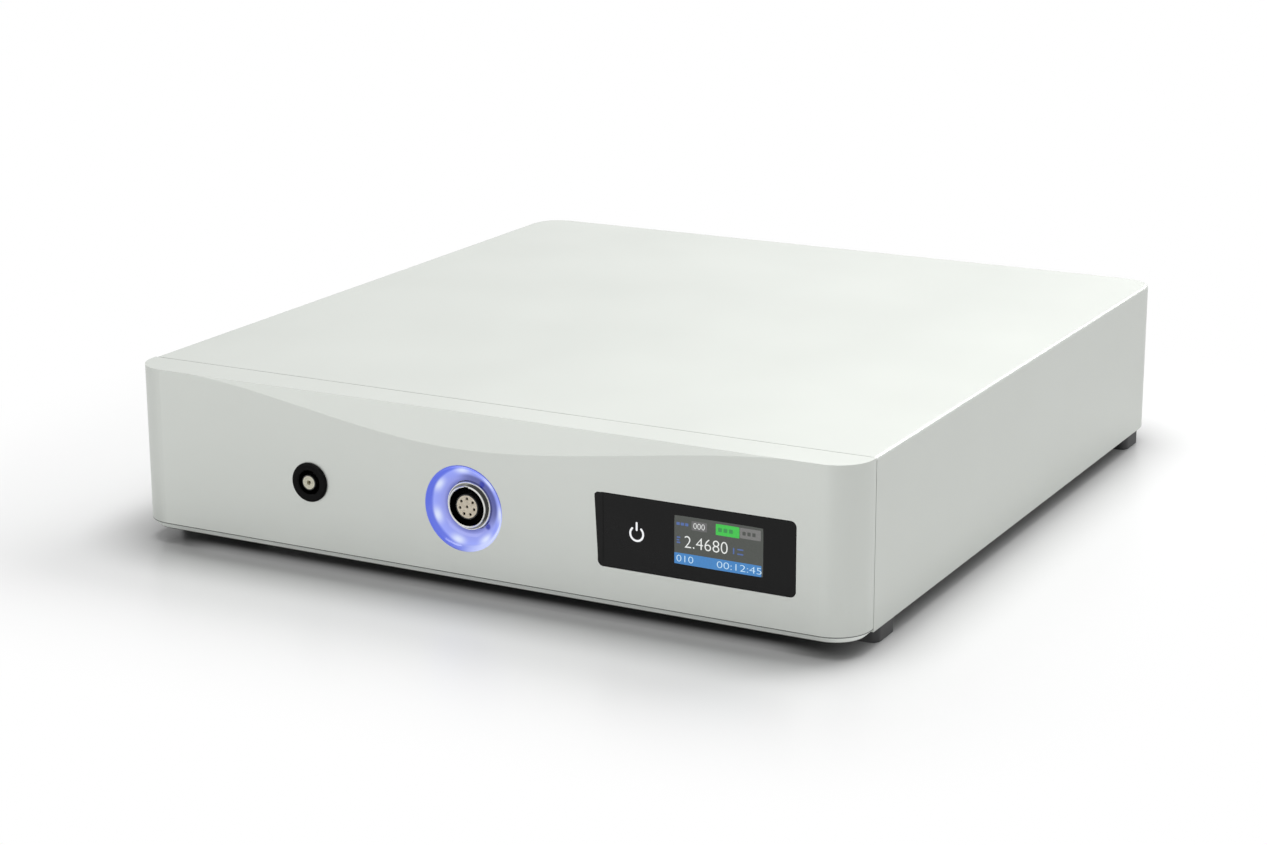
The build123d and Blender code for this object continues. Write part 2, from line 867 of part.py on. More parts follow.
# Sense socket: black flanged body, pale insulator and a contact tube
with BuildPart() as sense_socket_body:
    with BuildSketch(turning_plane(sense_x, front_y, sense_axis_z)):
        with BuildLine():
            Polyline(
                (sense_insulator_radius + slip, sense_cavity),
                (sense_bore, sense_cavity),
                (sense_bore, sense_edge - sense_stand_out),
                (sense_bore + sense_edge, -sense_stand_out),
                (sense_flange_radius - sense_round, -sense_stand_out),
            )
            RadiusArc(
                (sense_flange_radius - sense_round, -sense_stand_out),
                (sense_flange_radius, sense_round - sense_stand_out),
                -sense_round,
            )
            Polyline(
                (sense_flange_radius, sense_round - sense_stand_out),
                (sense_flange_radius, 0),
                (sense_thread_radius, 0),
                (sense_thread_radius, sense_length),
                (sense_insulator_radius + slip, sense_length),
                (sense_insulator_radius + slip, sense_cavity),
            )
        make_face()
    revolve(axis=depth_axis(sense_x, sense_axis_z))
finish(sense_socket_body, "sense_socket_body")

with BuildPart() as sense_socket_insulator:
    with BuildSketch(facing_front(front_y - sense_insulator_out)):
        with Locations((sense_x, sense_axis_z)):
            Circle(sense_insulator_radius)
            Circle(sense_contact_radius + slip, mode=Mode.SUBTRACT)
    extrude(amount=-sense_insulator_out - sense_length)
finish(sense_socket_insulator, "sense_socket_insulator")

with BuildPart() as sense_socket_contact:
    with BuildSketch(facing_front(front_y)):
        with Locations((sense_x, sense_axis_z)):
            Circle(sense_contact_radius)
            Circle(sense_contact_bore, mode=Mode.SUBTRACT)
    extrude(amount=-sense_length - sense_contact_tail)
finish(sense_socket_contact, "sense_socket_contact")

with BuildPart() as sense_socket_nut:
    with BuildSketch(facing_front(wall_back)):
        with Locations((sense_x, sense_axis_z)):
            RegularPolygon(sense_thread_radius + nut_rim, 6)
            Circle(sense_thread_radius + slip, mode=Mode.SUBTRACT)
    extrude(amount=-nut_thickness)
finish(sense_socket_nut, "sense_socket_nut")

# Rear panel: plate with cutouts, a ring grille for the fan and a flange on the base
rear_mid_z = (base_top + tongue_top) / 2
grille_radius = fan_bore
grille_pitch = (grille_radius - grille_hub) / grille_rings
network_mid_z = board_top + network_height / 2
usb_mid_z = board_top + usb_height / 2
with BuildPart() as rear_panel:
    with BuildSketch(facing_front(rear_inner)):
        with Locations((0, rear_mid_z)):
            Rectangle(2 * rear_half, tongue_top - base_top)
        with Locations((inlet_x, rear_z)):
            Rectangle(inlet_width + 2 * cutout_gap, inlet_height + 2 * cutout_gap, mode=Mode.SUBTRACT)
        with Locations(*[(x, rear_z) for x in inlet_places]):
            Circle(thread_radius, mode=Mode.SUBTRACT)
        with Locations((switch_x, rear_z)):
            Rectangle(switch_width + 2 * cutout_gap, switch_height + 2 * cutout_gap, mode=Mode.SUBTRACT)
        with Locations((network_x, network_mid_z)):
            Rectangle(network_width + 2 * cutout_gap, network_height + 2 * cutout_gap, mode=Mode.SUBTRACT)
        with Locations((usb_x, usb_mid_z)):
            SlotOverall(usb_width + 2 * cutout_gap, usb_height + 2 * cutout_gap, mode=Mode.SUBTRACT)
        with Locations(*[(x, rear_z) for x in bnc_places]):
            Circle(bnc_thread + slip, mode=Mode.SUBTRACT)
        with Locations((earth_x, rear_z)):
            Circle(earth_radius + slip, mode=Mode.SUBTRACT)
        with Locations(*fan_places):
            Circle(thread_radius, mode=Mode.SUBTRACT)
        with Locations((fan_x, rear_z)):
            for ring in range(grille_rings):
                slot_outer = grille_radius - ring * grille_pitch
                Circle(slot_outer, mode=Mode.SUBTRACT)
                Circle(slot_outer - grille_pitch + grille_bar)
            with PolarLocations(grille_radius / 2 + grille_lap, 4, start_angle=45):
                Rectangle(grille_radius + 2 * grille_lap, grille_bar)
    extrude(amount=-rear_plate)
    with BuildSketch(Plane.XY.offset(base_top)):
        with Locations((0, flange_y)):
            Rectangle(2 * rear_half, rear_flange)
        with Locations(*flange_places):
            Circle(thread_radius, mode=Mode.SUBTRACT)
    extrude(amount=rear_plate)
finish(rear_panel, "rear_panel")

# Mains inlet: flanged moulding with a keyed cavity and three blades
with BuildPart() as power_inlet:
    with BuildSketch(facing_rear(rear_outer)):
        with Locations((-inlet_x, rear_z)):
            RectangleRounded(inlet_flange_width, inlet_flange_height, inlet_corner)
        with Locations(*[(-x, rear_z) for x in inlet_places]):
            Circle(thread_radius, mode=Mode.SUBTRACT)
    extrude(amount=inlet_flange)
    with BuildSketch(facing_rear(rear_outer)):
        with Locations((-inlet_x, rear_z)):
            Rectangle(inlet_width, inlet_height)
    extrude(amount=-inlet_depth)
    with BuildSketch(facing_rear(rear_outer + inlet_flange)) as inlet_mouth:
        with Locations((-inlet_x, rear_z)):
            Rectangle(inlet_width - 2 * inlet_wall, inlet_height - 2 * inlet_wall)
        chamfer(vertices().group_by(Axis.Y)[-1], inlet_corner)
    extrude(amount=-inlet_cavity, mode=Mode.SUBTRACT)
    inlet_pins_at = [
        (-inlet_x - inlet_pin_pitch / 2, rear_z - inlet_pin_drop),
        (-inlet_x + inlet_pin_pitch / 2, rear_z - inlet_pin_drop),
        (-inlet_x, rear_z + inlet_pin_rise),
    ]
    with BuildSketch(facing_rear(rear_outer)):
        with Locations(*inlet_pins_at):
            Rectangle(inlet_pin_width + 2 * slip, inlet_pin_height + 2 * slip)
    extrude(amount=-inlet_depth, mode=Mode.SUBTRACT)
finish(power_inlet, "power_inlet")

with BuildPart() as inlet_pins:
    with BuildSketch(facing_rear(rear_outer + inlet_flange - inlet_pin_sink)):
        with Locations(*inlet_pins_at):
            Rectangle(inlet_pin_width, inlet_pin_height)
    extrude(amount=-inlet_depth - inlet_flange + inlet_pin_sink - inlet_pin_tail)
finish(inlet_pins, "inlet_pins")

with BuildPart() as inlet_screws:
    with Locations(*[Location((x, rear_outer + inlet_flange, rear_z), (-90, 0, 0)) for x in inlet_places]):
        add(pan_screw(inlet_flange + rear_plate + screw_end))
finish(inlet_screws, "inlet_screws")

# Mains switch: frame and rocker, the rocker resting in its on position
pivot_y = rear_outer + switch_flange - rocker_sink
with BuildPart() as switch_frame:
    with BuildSketch(facing_rear(rear_outer)):
        with Locations((-switch_x, rear_z)):
            RectangleRounded(
                switch_width + 2 * switch_border,
                switch_height + 2 * switch_border,
                switch_corner,
            )
    extrude(amount=switch_flange)
    with BuildSketch(facing_rear(rear_outer)):
        with Locations((-switch_x, rear_z)):
            Rectangle(switch_width, switch_height)
    extrude(amount=-switch_depth)
    with BuildSketch(facing_rear(rear_outer + switch_flange)):
        with Locations((-switch_x, rear_z)):
            Rectangle(rocker_width + 2 * rocker_side_gap, 2 * (rocker_radius + rocker_gap))
    extrude(amount=-switch_well, mode=Mode.SUBTRACT)
    with BuildSketch(Plane.YZ.offset(switch_x)):
        with Locations((pivot_y, rear_z)):
            Circle(rocker_pin + slip)
    extrude(amount=rocker_width / 2 + rocker_pin_length + slip, both=True, mode=Mode.SUBTRACT)
finish(switch_frame, "switch_frame")

tilt = radians(rocker_tilt)
rocker_plane = Plane(origin=(switch_x, pivot_y, rear_z), x_dir=(0, cos(tilt), sin(tilt)), z_dir=(1, 0, 0))
with BuildPart() as switch_rocker:
    with BuildSketch(rocker_plane):
        Circle(rocker_radius)
        with BuildLine():
            Polyline(
                (-rocker_back, -rocker_radius),
                (rocker_front, -rocker_radius),
                (rocker_front - rocker_dip, 0),
                (rocker_front, rocker_radius),
                (-rocker_back, rocker_radius),
                close=True,
            )
        make_face(mode=Mode.INTERSECT)
    extrude(amount=rocker_width / 2, both=True)
    with BuildSketch(rocker_plane):
        Circle(rocker_pin)
    extrude(amount=rocker_width / 2 + rocker_pin_length - slip, both=True)
finish(switch_rocker, "switch_rocker")

# Fan: square frame with spokes and bearing, and a rotor with twisted blades
fan_front = rear_inner - fan_depth
fan_axis = depth_axis(fan_x, rear_z)
with BuildPart() as fan_frame:
    with BuildSketch(facing_front(rear_inner)):
        with Locations((fan_x, rear_z)):
            RectangleRounded(fan_size, fan_size, fan_corner)
            Circle(fan_bore, mode=Mode.SUBTRACT)
        with Locations(*fan_places):
            Circle(fan_hole_radius, mode=Mode.SUBTRACT)
    extrude(amount=fan_depth)
    with BuildSketch(facing_front(fan_front)):
        with Locations((fan_x, rear_z)):
            Circle(fan_stator_radius)
            with PolarLocations((fan_bore + slip) / 2, fan_spokes, start_angle=fan_spoke_start):
                Rectangle(fan_bore + slip, fan_spoke_width)
    extrude(amount=-fan_support)
    with BuildSketch(facing_front(fan_front)):
        with Locations((fan_x, rear_z)):
            Circle(fan_stator_radius)
    extrude(amount=-fan_support - fan_hub_depth + fan_hub_wall + 2 * fan_guard)
    with BuildSketch(facing_front(fan_front)):
        with Locations((fan_x, rear_z)):
            Circle(fan_shaft_radius + slip)
    extrude(amount=-fan_depth, mode=Mode.SUBTRACT)
finish(fan_frame, "fan_frame")

hub_front = fan_front + fan_support + fan_guard / 2
hub_rear = hub_front + fan_hub_depth
blade_root = fan_hub_radius - fan_hub_wall / 2
blade_middle = (hub_front + hub_rear) / 2
with BuildPart() as fan_rotor:
    with BuildSketch(turning_plane(fan_x, 0, rear_z)):
        with BuildLine():
            Polyline(
                (0, fan_front + slip),
                (fan_shaft_radius, fan_front + slip),
                (fan_shaft_radius, hub_rear - fan_hub_wall),
                (fan_hub_radius - fan_hub_wall, hub_rear - fan_hub_wall),
                (fan_hub_radius - fan_hub_wall, hub_front),
                (fan_hub_radius, hub_front),
                (fan_hub_radius, hub_rear),
                (0, hub_rear),
                close=True,
            )
        make_face()
    revolve(axis=fan_axis)
    for blade in range(fan_blades):
        angle = 2 * pi * blade / fan_blades
        outward = Vector(cos(angle), 0, sin(angle))
        centre = Vector(fan_x, blade_middle, rear_z)
        root = Plane(origin=centre + outward * blade_root, x_dir=(0, 1, 0), z_dir=outward)
        tip = Plane(origin=centre + outward * fan_bore, x_dir=(0, 1, 0), z_dir=outward)
        with BuildSketch(root):
            Rectangle(fan_blade_chord, fan_blade_thickness, rotation=fan_root_pitch)
        with BuildSketch(tip):
            Rectangle(fan_blade_chord, fan_blade_thickness, rotation=fan_tip_pitch)
        loft()
    with BuildSketch(facing_front(rear_inner)):
        with Locations((fan_x, rear_z)):
            Circle(fan_bore - fan_tip_gap)
    extrude(amount=fan_depth, mode=Mode.INTERSECT)
finish(fan_rotor, "fan_rotor")

with BuildPart() as fan_screws:
    with Locations(*[Location((x, rear_outer, z), (-90, 0, 0)) for x, z in fan_places]):
        add(pan_screw(fan_screw_length))
finish(fan_screws, "fan_screws")

# Network and serial sockets that stand on the main board and reach through the rear panel
socket_face = rear_outer + slip
with BuildPart() as network_socket:
    with BuildSketch(facing_rear(socket_face)):
        with Locations((-network_x, network_mid_z)):
            Rectangle(network_width, network_height)
    extrude(amount=-network_length)
    mouth_low = board_top + network_floor
    with BuildSketch(facing_rear(socket_face)):
        with Locations((-network_x, mouth_low + network_mouth_height / 2)):
            Rectangle(network_mouth_width, network_mouth_height)
        with Locations((-network_x, mouth_low + network_mouth_height + network_key_height / 2)):
            Rectangle(network_key_width, network_key_height)
    extrude(amount=-network_mouth_depth, mode=Mode.SUBTRACT)
finish(network_socket, "network_socket")

with BuildPart() as usb_socket:
    with BuildSketch(facing_rear(socket_face)):
        with Locations((-usb_x, usb_mid_z)):
            SlotOverall(usb_width, usb_height)
    extrude(amount=-usb_length)
    with BuildSketch(facing_rear(socket_face)):
        with Locations((-usb_x, usb_mid_z)):
            SlotOverall(usb_width - 2 * usb_wall, usb_height - 2 * usb_wall)
    extrude(amount=usb_back - usb_length, mode=Mode.SUBTRACT)
    with BuildSketch(facing_rear(socket_face - usb_back)):
        with Locations((-usb_x, usb_mid_z)):
            Rectangle(usb_tongue_width, usb_tongue_height)
    extrude(amount=usb_back - usb_length)
finish(usb_socket, "usb_socket")

# Three bayonet sockets: bodies with lugs, insulators, contact tubes and nuts
bnc_mouth = rear_outer + bnc_flange + bnc_reach
with BuildPart() as bnc_bodies:
    for x in bnc_places:
        with BuildSketch(turning_plane(x, rear_outer, rear_z)):
            with BuildLine():
                Polyline(
                    (bnc_insulator + slip, -bnc_back),
                    (bnc_thread, -bnc_back),
                    (bnc_thread, 0),
                    (bnc_flange_radius, 0),
                    (bnc_flange_radius, bnc_flange),
                    (bnc_radius, bnc_flange),
                    (bnc_radius, bnc_flange + bnc_reach),
                    (bnc_bore, bnc_flange + bnc_reach),
                    (bnc_bore, bnc_flange),
                    (bnc_insulator + slip, bnc_flange),
                    close=True,
                )
            make_face()
        revolve(axis=depth_axis(x, rear_z))
        for side in (-1, 1):
            with BuildSketch(Plane.XY.offset(rear_z + side * (bnc_bore + bnc_radius) / 2)):
                with Locations((x, bnc_mouth - bnc_lug_setback)):
                    Circle(bnc_lug_radius)
            extrude(amount=side * ((bnc_radius - bnc_bore) / 2 + bnc_lug_height))
finish(bnc_bodies, "bnc_bodies")

with BuildPart() as bnc_insulators:
    with BuildSketch(facing_rear(rear_outer - bnc_back)):
        with Locations(*[(-x, rear_z) for x in bnc_places]):
            Circle(bnc_insulator)
            Circle(bnc_contact + slip, mode=Mode.SUBTRACT)
    extrude(amount=bnc_back + bnc_insulator_reach)
finish(bnc_insulators, "bnc_insulators")

with BuildPart() as bnc_contacts:
    with BuildSketch(facing_rear(rear_outer - bnc_back - bnc_contact_tail)):
        with Locations(*[(-x, rear_z) for x in bnc_places]):
            Circle(bnc_contact)
            Circle(bnc_contact_bore, mode=Mode.SUBTRACT)
    extrude(amount=bnc_back + bnc_contact_tail + bnc_contact_reach)
finish(bnc_contacts, "bnc_contacts")

with BuildPart() as bnc_nuts:
    with BuildSketch(facing_front(rear_inner)):
        with Locations(*[(x, rear_z) for x in bnc_places]):
            RegularPolygon(bnc_thread + nut_rim, 6)
            Circle(bnc_thread + slip, mode=Mode.SUBTRACT)
    extrude(amount=nut_thickness)
finish(bnc_nuts, "bnc_nuts")

# Earth socket: turned body with a plug bore, and its nut
with BuildPart() as earth_socket:
    with BuildSketch(turning_plane(earth_x, rear_outer, rear_z)):
        with BuildLine():
            Polyline(
                (0, -earth_back),
                (earth_radius, -earth_back),
                (earth_radius, 0),
                (earth_flange_radius, 0),
                (earth_flange_radius, earth_flange),
                (earth_radius, earth_flange),
                (earth_radius, earth_reach),
                (earth_bore, earth_reach),
                (earth_bore, earth_reach - earth_bore_depth),
                (0, earth_reach - earth_bore_depth),
                close=True,
            )
        make_face()
    revolve(axis=depth_axis(earth_x, rear_z))
finish(earth_socket, "earth_socket")

with BuildPart() as earth_nut:
    with BuildSketch(facing_front(rear_inner)):
        with Locations((earth_x, rear_z)):
            RegularPolygon(earth_radius + nut_rim, 6)
            Circle(earth_radius + slip, mode=Mode.SUBTRACT)
    extrude(amount=nut_thickness)
finish(earth_nut, "earth_nut")

# Standoffs with a stud in the base, and the screws that hold the boards on them
with BuildPart() as board_standoffs:
    with BuildSketch(Plane.XY.offset(base_top)):
        with Locations(*board_places):
            RegularPolygon(standoff_radius, 6)
    extrude(amount=standoff_height)
    with BuildSketch(Plane.XY.offset(base_top)):
        with Locations(*board_places):
            Circle(screw_radius)
    extrude(amount=-base_thickness)
    with BuildSketch(Plane.XY.offset(board_bottom)):
        with Locations(*board_places):
            Circle(thread_radius)
    extrude(amount=hole_floor - standoff_height, mode=Mode.SUBTRACT)
finish(board_standoffs, "board_standoffs")

with BuildPart() as board_screws:
    with Locations(*[(x, y, board_top) for x, y in board_places]):
        add(pan_screw(board_thickness + board_screw_reach))
finish(board_screws, "board_screws")

# Measurement board with its relays and amplifiers, under a shield
shield_x = measure_x - shield_offset
with BuildPart() as measurement_board:
    with BuildSketch(Plane.XY.offset(board_bottom)):
        with Locations((measure_x, measure_y)):
            Rectangle(measure_width, board_length)
        with Locations(*measure_holes):
            Circle(thread_radius, mode=Mode.SUBTRACT)
    extrude(amount=board_thickness)
    with BuildSketch(Plane.XY.offset(board_top)):
        with Locations((shield_x, measure_y + measure_row_offset)):
            with GridLocations(relay_pitch_x, relay_pitch_y, relay_columns, 2):
                Rectangle(relay_length, relay_width)
    extrude(amount=relay_height)
    with BuildSketch(Plane.XY.offset(board_top)):
        with Locations((shield_x, measure_y - measure_row_offset)):
            with GridLocations(amplifier_pitch_x, amplifier_pitch_y, amplifier_columns, 2):
                Rectangle(amplifier_length, amplifier_width)
    extrude(amount=chip_height)
finish(measurement_board, "measurement_board")

with BuildPart() as measurement_shield:
    with BuildSketch(Plane.XY.offset(board_top)):
        with Locations((shield_x, measure_y)):
            RectangleRounded(shield_width, shield_length, shield_corner)
    extrude(amount=shield_height)
    offset(amount=-shield_wall, openings=faces().sort_by(Axis.Z)[0])
finish(measurement_shield, "measurement_shield")

# Main board with its processor and memory, and the finned sink on the processor
processor_x = main_x - processor_offset_x
processor_y = main_y + processor_offset_y
with BuildPart() as main_board:
    with BuildSketch(Plane.XY.offset(board_bottom)):
        with Locations((main_x, main_y)):
            Rectangle(main_width, board_length)
        with Locations(*main_holes):
            Circle(thread_radius, mode=Mode.SUBTRACT)
    extrude(amount=board_thickness)
    with BuildSketch(Plane.XY.offset(board_top)):
        with Locations((processor_x, processor_y)):
            Rectangle(processor_size, processor_size)
        with Locations((processor_x + memory_offset, processor_y)):
            with GridLocations(memory_pitch_x, memory_pitch_y, 2, 2):
                Rectangle(memory_length, memory_width)
    extrude(amount=chip_height)
finish(main_board, "main_board")

with BuildPart() as processor_heat_sink:
    with BuildSketch(Plane.XY.offset(board_top + chip_height)):
        with Locations((processor_x, processor_y)):
            Rectangle(sink_size, sink_size)
    extrude(amount=sink_floor)
    with BuildSketch(Plane.XY.offset(board_top + chip_height + sink_floor)):
        with Locations((processor_x, processor_y)):
            with GridLocations((sink_size - sink_fin) / (sink_fins - 1), 1, sink_fins, 1):
                Rectangle(sink_fin, sink_size)
    extrude(amount=sink_height)
finish(processor_heat_sink, "processor_heat_sink")

# Power supply: board, transformer, capacitors, heat sink and terminals
with BuildPart() as supply_board:
    with BuildSketch(Plane.XY.offset(board_bottom)):
        with Locations((supply_x, supply_y)):
            Rectangle(supply_width, supply_length)
        with Locations(*supply_holes):
            Circle(thread_radius, mode=Mode.SUBTRACT)
    extrude(amount=board_thickness)
finish(supply_board, "supply_board")

heat_sink_y = supply_front + heat_sink_inset
capacitor_y = supply_rear - capacitor_inset
core_y = (heat_sink_y + heat_sink_plate / 2 + capacitor_y - capacitor_radius) / 2
with BuildPart() as supply_transformer:
    with BuildSketch(facing_front(core_y - core_depth / 2)):
        with Locations((supply_x, board_top + core_height / 2)):
            Rectangle(core_width, core_height)
            with Locations((-core_width / 4 + core_limb / 4, 0), (core_width / 4 - core_limb / 4, 0)):
                Rectangle((core_width - 3 * core_limb) / 2, core_height - 2 * core_limb, mode=Mode.SUBTRACT)
    extrude(amount=-core_depth)
    with BuildSketch(Plane.XY.offset(board_top + core_limb)):
        with Locations((supply_x, core_y)):
            RectangleRounded(core_width - 2 * core_limb, winding_length, winding_corner)
    extrude(amount=core_height - 2 * core_limb)
finish(supply_transformer, "supply_transformer")

with BuildPart() as supply_capacitors:
    with BuildSketch(Plane.XY.offset(board_top)):
        with Locations(*[(supply_x + capacitor_offset + capacitor_pitch * i, capacitor_y) for i in range(2)]):
            Circle(capacitor_radius)
    extrude(amount=capacitor_height)
    fillet(faces().sort_by(Axis.Z)[-2:].edges(), capacitor_edge)
finish(supply_capacitors, "supply_capacitors")

heat_sink_pitch = (heat_sink_length - heat_sink_fin) / (heat_sink_fins - 1)
with BuildPart() as supply_heat_sink:
    with BuildSketch(Plane.XY.offset(board_top)):
        with Locations((supply_x, heat_sink_y)):
            Rectangle(heat_sink_length, heat_sink_plate)
        with Locations((supply_x, heat_sink_y - heat_sink_reach / 2)):
            with GridLocations(heat_sink_pitch, 1, heat_sink_fins, 1):
                Rectangle(heat_sink_fin, heat_sink_reach)
    extrude(amount=heat_sink_height)
finish(supply_heat_sink, "supply_heat_sink")

terminal_axis_z = board_top + terminal_height / 2
with BuildPart() as supply_terminals:
    with BuildSketch(Plane.XY.offset(board_top)):
        with Locations((supply_x, supply_rear - terminal_depth / 2)):
            Rectangle(terminal_width, terminal_depth)
    extrude(amount=terminal_height)
    with BuildSketch(Plane.XY.offset(board_top + terminal_height)):
        with Locations((supply_x, supply_rear - terminal_depth / 2)):
            with GridLocations(terminal_pitch, 1, terminal_count, 1):
                Circle(terminal_hole)
    extrude(amount=-terminal_hole_depth, mode=Mode.SUBTRACT)
finish(supply_terminals, "supply_terminals")

# Ribbons between the boards
strip_z = board_top + link_thickness / 2
display_back = wall_back + board_thickness
display_link_x = measure_x + measure_width / 2 - display_link_inset
display_link_z = window_mid_z - display_link_drop
display_ribbon_route = [
    (display_back, display_link_z),
    (measure_front - ribbon_slack, display_link_z),
    (measure_front - ribbon_toe, strip_z),
    (measure_front + link_landing, strip_z),
]
display_ribbon = ribbon(display_ribbon_route, link_bend, display_link_x, display_link_width)
display_ribbon.label = "display_ribbon"
export_step(display_ribbon, "parts/display_ribbon.step")

flex_y = front_y + shell_length + contact_tail + link_thickness / 2
cell_flex_route = [
    (flex_y, cell_axis_z + insert_radius),
    (flex_y, strip_z),
    (measure_front + link_landing, strip_z),
]
cell_flex = ribbon(cell_flex_route, link_bend, cell_x, cell_flex_width)
cell_flex.label = "cell_flex"
export_step(cell_flex, "parts/cell_flex.step")

board_link_route = [
    (measure_rear - link_landing, strip_z),
    (measure_rear + link_run, strip_z),
    (measure_rear + link_run + link_rise, strip_z + link_rise),
    (main_front - link_run - link_rise, strip_z + link_rise),
    (main_front - link_run, strip_z),
    (main_front + link_landing, strip_z),
]
board_link = ribbon(board_link_route, link_bend, main_x, link_width)
board_link.label = "board_link"
export_step(board_link, "parts/board_link.step")

# Mains wires from the inlet and the switch to the supply's terminals
tail_y = rear_outer - inlet_depth - inlet_pin_tail
switch_back = rear_outer - switch_depth
wire_ends = [
    ((inlet_x - inlet_pin_pitch / 2, tail_y, rear_z - inlet_pin_drop), 0),
    ((inlet_x, tail_y, rear_z + inlet_pin_rise), 1),
    ((inlet_x + inlet_pin_pitch / 2, tail_y, rear_z - inlet_pin_drop), 2),
    ((switch_x - switch_tab_x, switch_back, rear_z - switch_tab_drop), -2),
    ((switch_x + switch_tab_x, switch_back, rear_z - switch_tab_drop), -1),
]
with BuildPart() as mains_wires:
    for start, port in wire_ends:
        port_x = supply_x + terminal_pitch * port
        run = (start[1] - supply_rear) * wire_run_share
        with BuildLine() as wire_path:
            FilletPolyline(
                start,
                (start[0], start[1] - run, start[2]),
                (port_x, supply_rear + run, terminal_axis_z),
                (port_x, supply_rear, terminal_axis_z),
                radius=wire_bend,
            )
        with BuildSketch(Plane(origin=start, z_dir=(0, -1, 0))):
            Circle(wire_radius)
        sweep(path=wire_path.line)
finish(mains_wires, "mains_wires")
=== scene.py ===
import bpy
import numpy as np
from mathutils import Matrix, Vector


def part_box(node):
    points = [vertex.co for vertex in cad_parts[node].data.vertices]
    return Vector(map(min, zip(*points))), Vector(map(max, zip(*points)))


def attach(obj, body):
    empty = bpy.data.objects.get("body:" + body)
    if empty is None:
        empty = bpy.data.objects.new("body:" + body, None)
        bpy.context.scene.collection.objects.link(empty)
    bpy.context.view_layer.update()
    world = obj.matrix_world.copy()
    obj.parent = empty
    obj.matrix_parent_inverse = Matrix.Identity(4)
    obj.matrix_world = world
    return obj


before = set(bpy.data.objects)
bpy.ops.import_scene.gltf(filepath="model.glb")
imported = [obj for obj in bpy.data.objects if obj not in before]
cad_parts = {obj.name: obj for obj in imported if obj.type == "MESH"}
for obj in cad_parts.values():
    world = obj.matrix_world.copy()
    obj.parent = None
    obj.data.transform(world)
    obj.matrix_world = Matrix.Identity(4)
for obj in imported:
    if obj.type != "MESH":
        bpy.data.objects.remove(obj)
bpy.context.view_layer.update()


# Camera
# Stands about a metre off the front right corner with a long lens,
# a little above the top of the case.
def place_camera():
    """A camera whose third axis points back by the azimuth and the elevation.

    Its first axis is level before the roll tips it."""
    azimuth, elevation, roll = np.radians([28.143, 15.641, -0.222])
    stand = [0.47817, -0.93246, 0.31757]
    back = np.array(
        [
            np.sin(azimuth) * np.cos(elevation),
            -np.cos(azimuth) * np.cos(elevation),
            np.sin(elevation),
        ]
    )
    level = np.cross(-back, [0.0, 0.0, 1.0])
    level /= np.linalg.norm(level)
    upright = np.cross(level, -back)
    turned = np.eye(4)
    turned[:3, 0] = np.cos(roll) * level + np.sin(roll) * upright
    turned[:3, 1] = np.cos(roll) * upright - np.sin(roll) * level
    turned[:3, 2] = back
    turned[:3, 3] = stand
    lens = bpy.data.cameras.new("camera")
    lens.sensor_width = 36.0
    lens.sensor_fit = "HORIZONTAL"
    lens.lens = 78.206
    lens.clip_end = 50.0
    camera = bpy.data.objects.new("camera", lens)
    camera.matrix_world = Matrix(turned.tolist())
    bpy.context.scene.collection.objects.link(camera)
    bpy.context.scene.camera = camera


place_camera()
bpy.context.scene.view_settings.view_transform = "Standard"


# Studio
# A white sweep under an even sky, as for a catalogue picture: softboxes hang
# overhead and behind the case, and a wide low one stands at the front left.
def new_material(name):
    """A material, its node tree and its Principled shader."""
    material = bpy.data.materials.new(name)
    material.use_nodes = True
    tree = material.node_tree
    return material, tree, tree.nodes["Principled BSDF"]


def add_node(tree, kind, settings=None, **inputs):
    """A node of the kind, with its settings, and a value or a link in each input given.

    An input is given by its name, or by i and its number."""
    node = tree.nodes.new(kind)
    for key, value in (settings or {}).items():
        setattr(node, key, value)
    for key, value in inputs.items():
        numbered = key[0] == "i" and key[1:].isdigit()
        socket = node.inputs[int(key[1:]) if numbered else key.replace("_", " ")]
        if isinstance(value, bpy.types.NodeSocket):
            tree.links.new(value, socket)
        else:
            socket.default_value = value
    return node


def maths(tree, operation, *values):
    """The result of one operation on numbers or links."""
    inputs = {f"i{number}": value for number, value in enumerate(values)}
    return add_node(tree, "ShaderNodeMath", {"operation": operation}, **inputs).outputs[0]


def smooth_step(tree, value, start, end, low=0.0, high=1.0):
    """What runs smoothly from low to high while the value goes from start to end."""
    node = add_node(
        tree,
        "ShaderNodeMapRange",
        {"interpolation_type": "SMOOTHSTEP"},
        Value=value,
        i1=start,
        i2=end,
        i3=low,
        i4=high,
    )
    return node.outputs["Result"]


def mix_shaders(tree, share, first, second):
    """The light of the first node, and of the second by the share."""
    mix = add_node(
        tree, "ShaderNodeMixShader", i0=share, i1=first.outputs[0], i2=second.outputs[0]
    )
    return mix.outputs[0]


def seen_white(tree):
    """One for the rays that meet the backdrop as white: the camera's own, and those that
    mirror it in metal or reach it through glass. Nought for the rays that light surfaces."""
    ray = add_node(tree, "ShaderNodeLightPath")
    shown = ray.outputs["Is Camera Ray"]
    for kind in ("Is Glossy Ray", "Is Transmission Ray"):
        shown = maths(tree, "MAXIMUM", shown, ray.outputs[kind])
    return shown


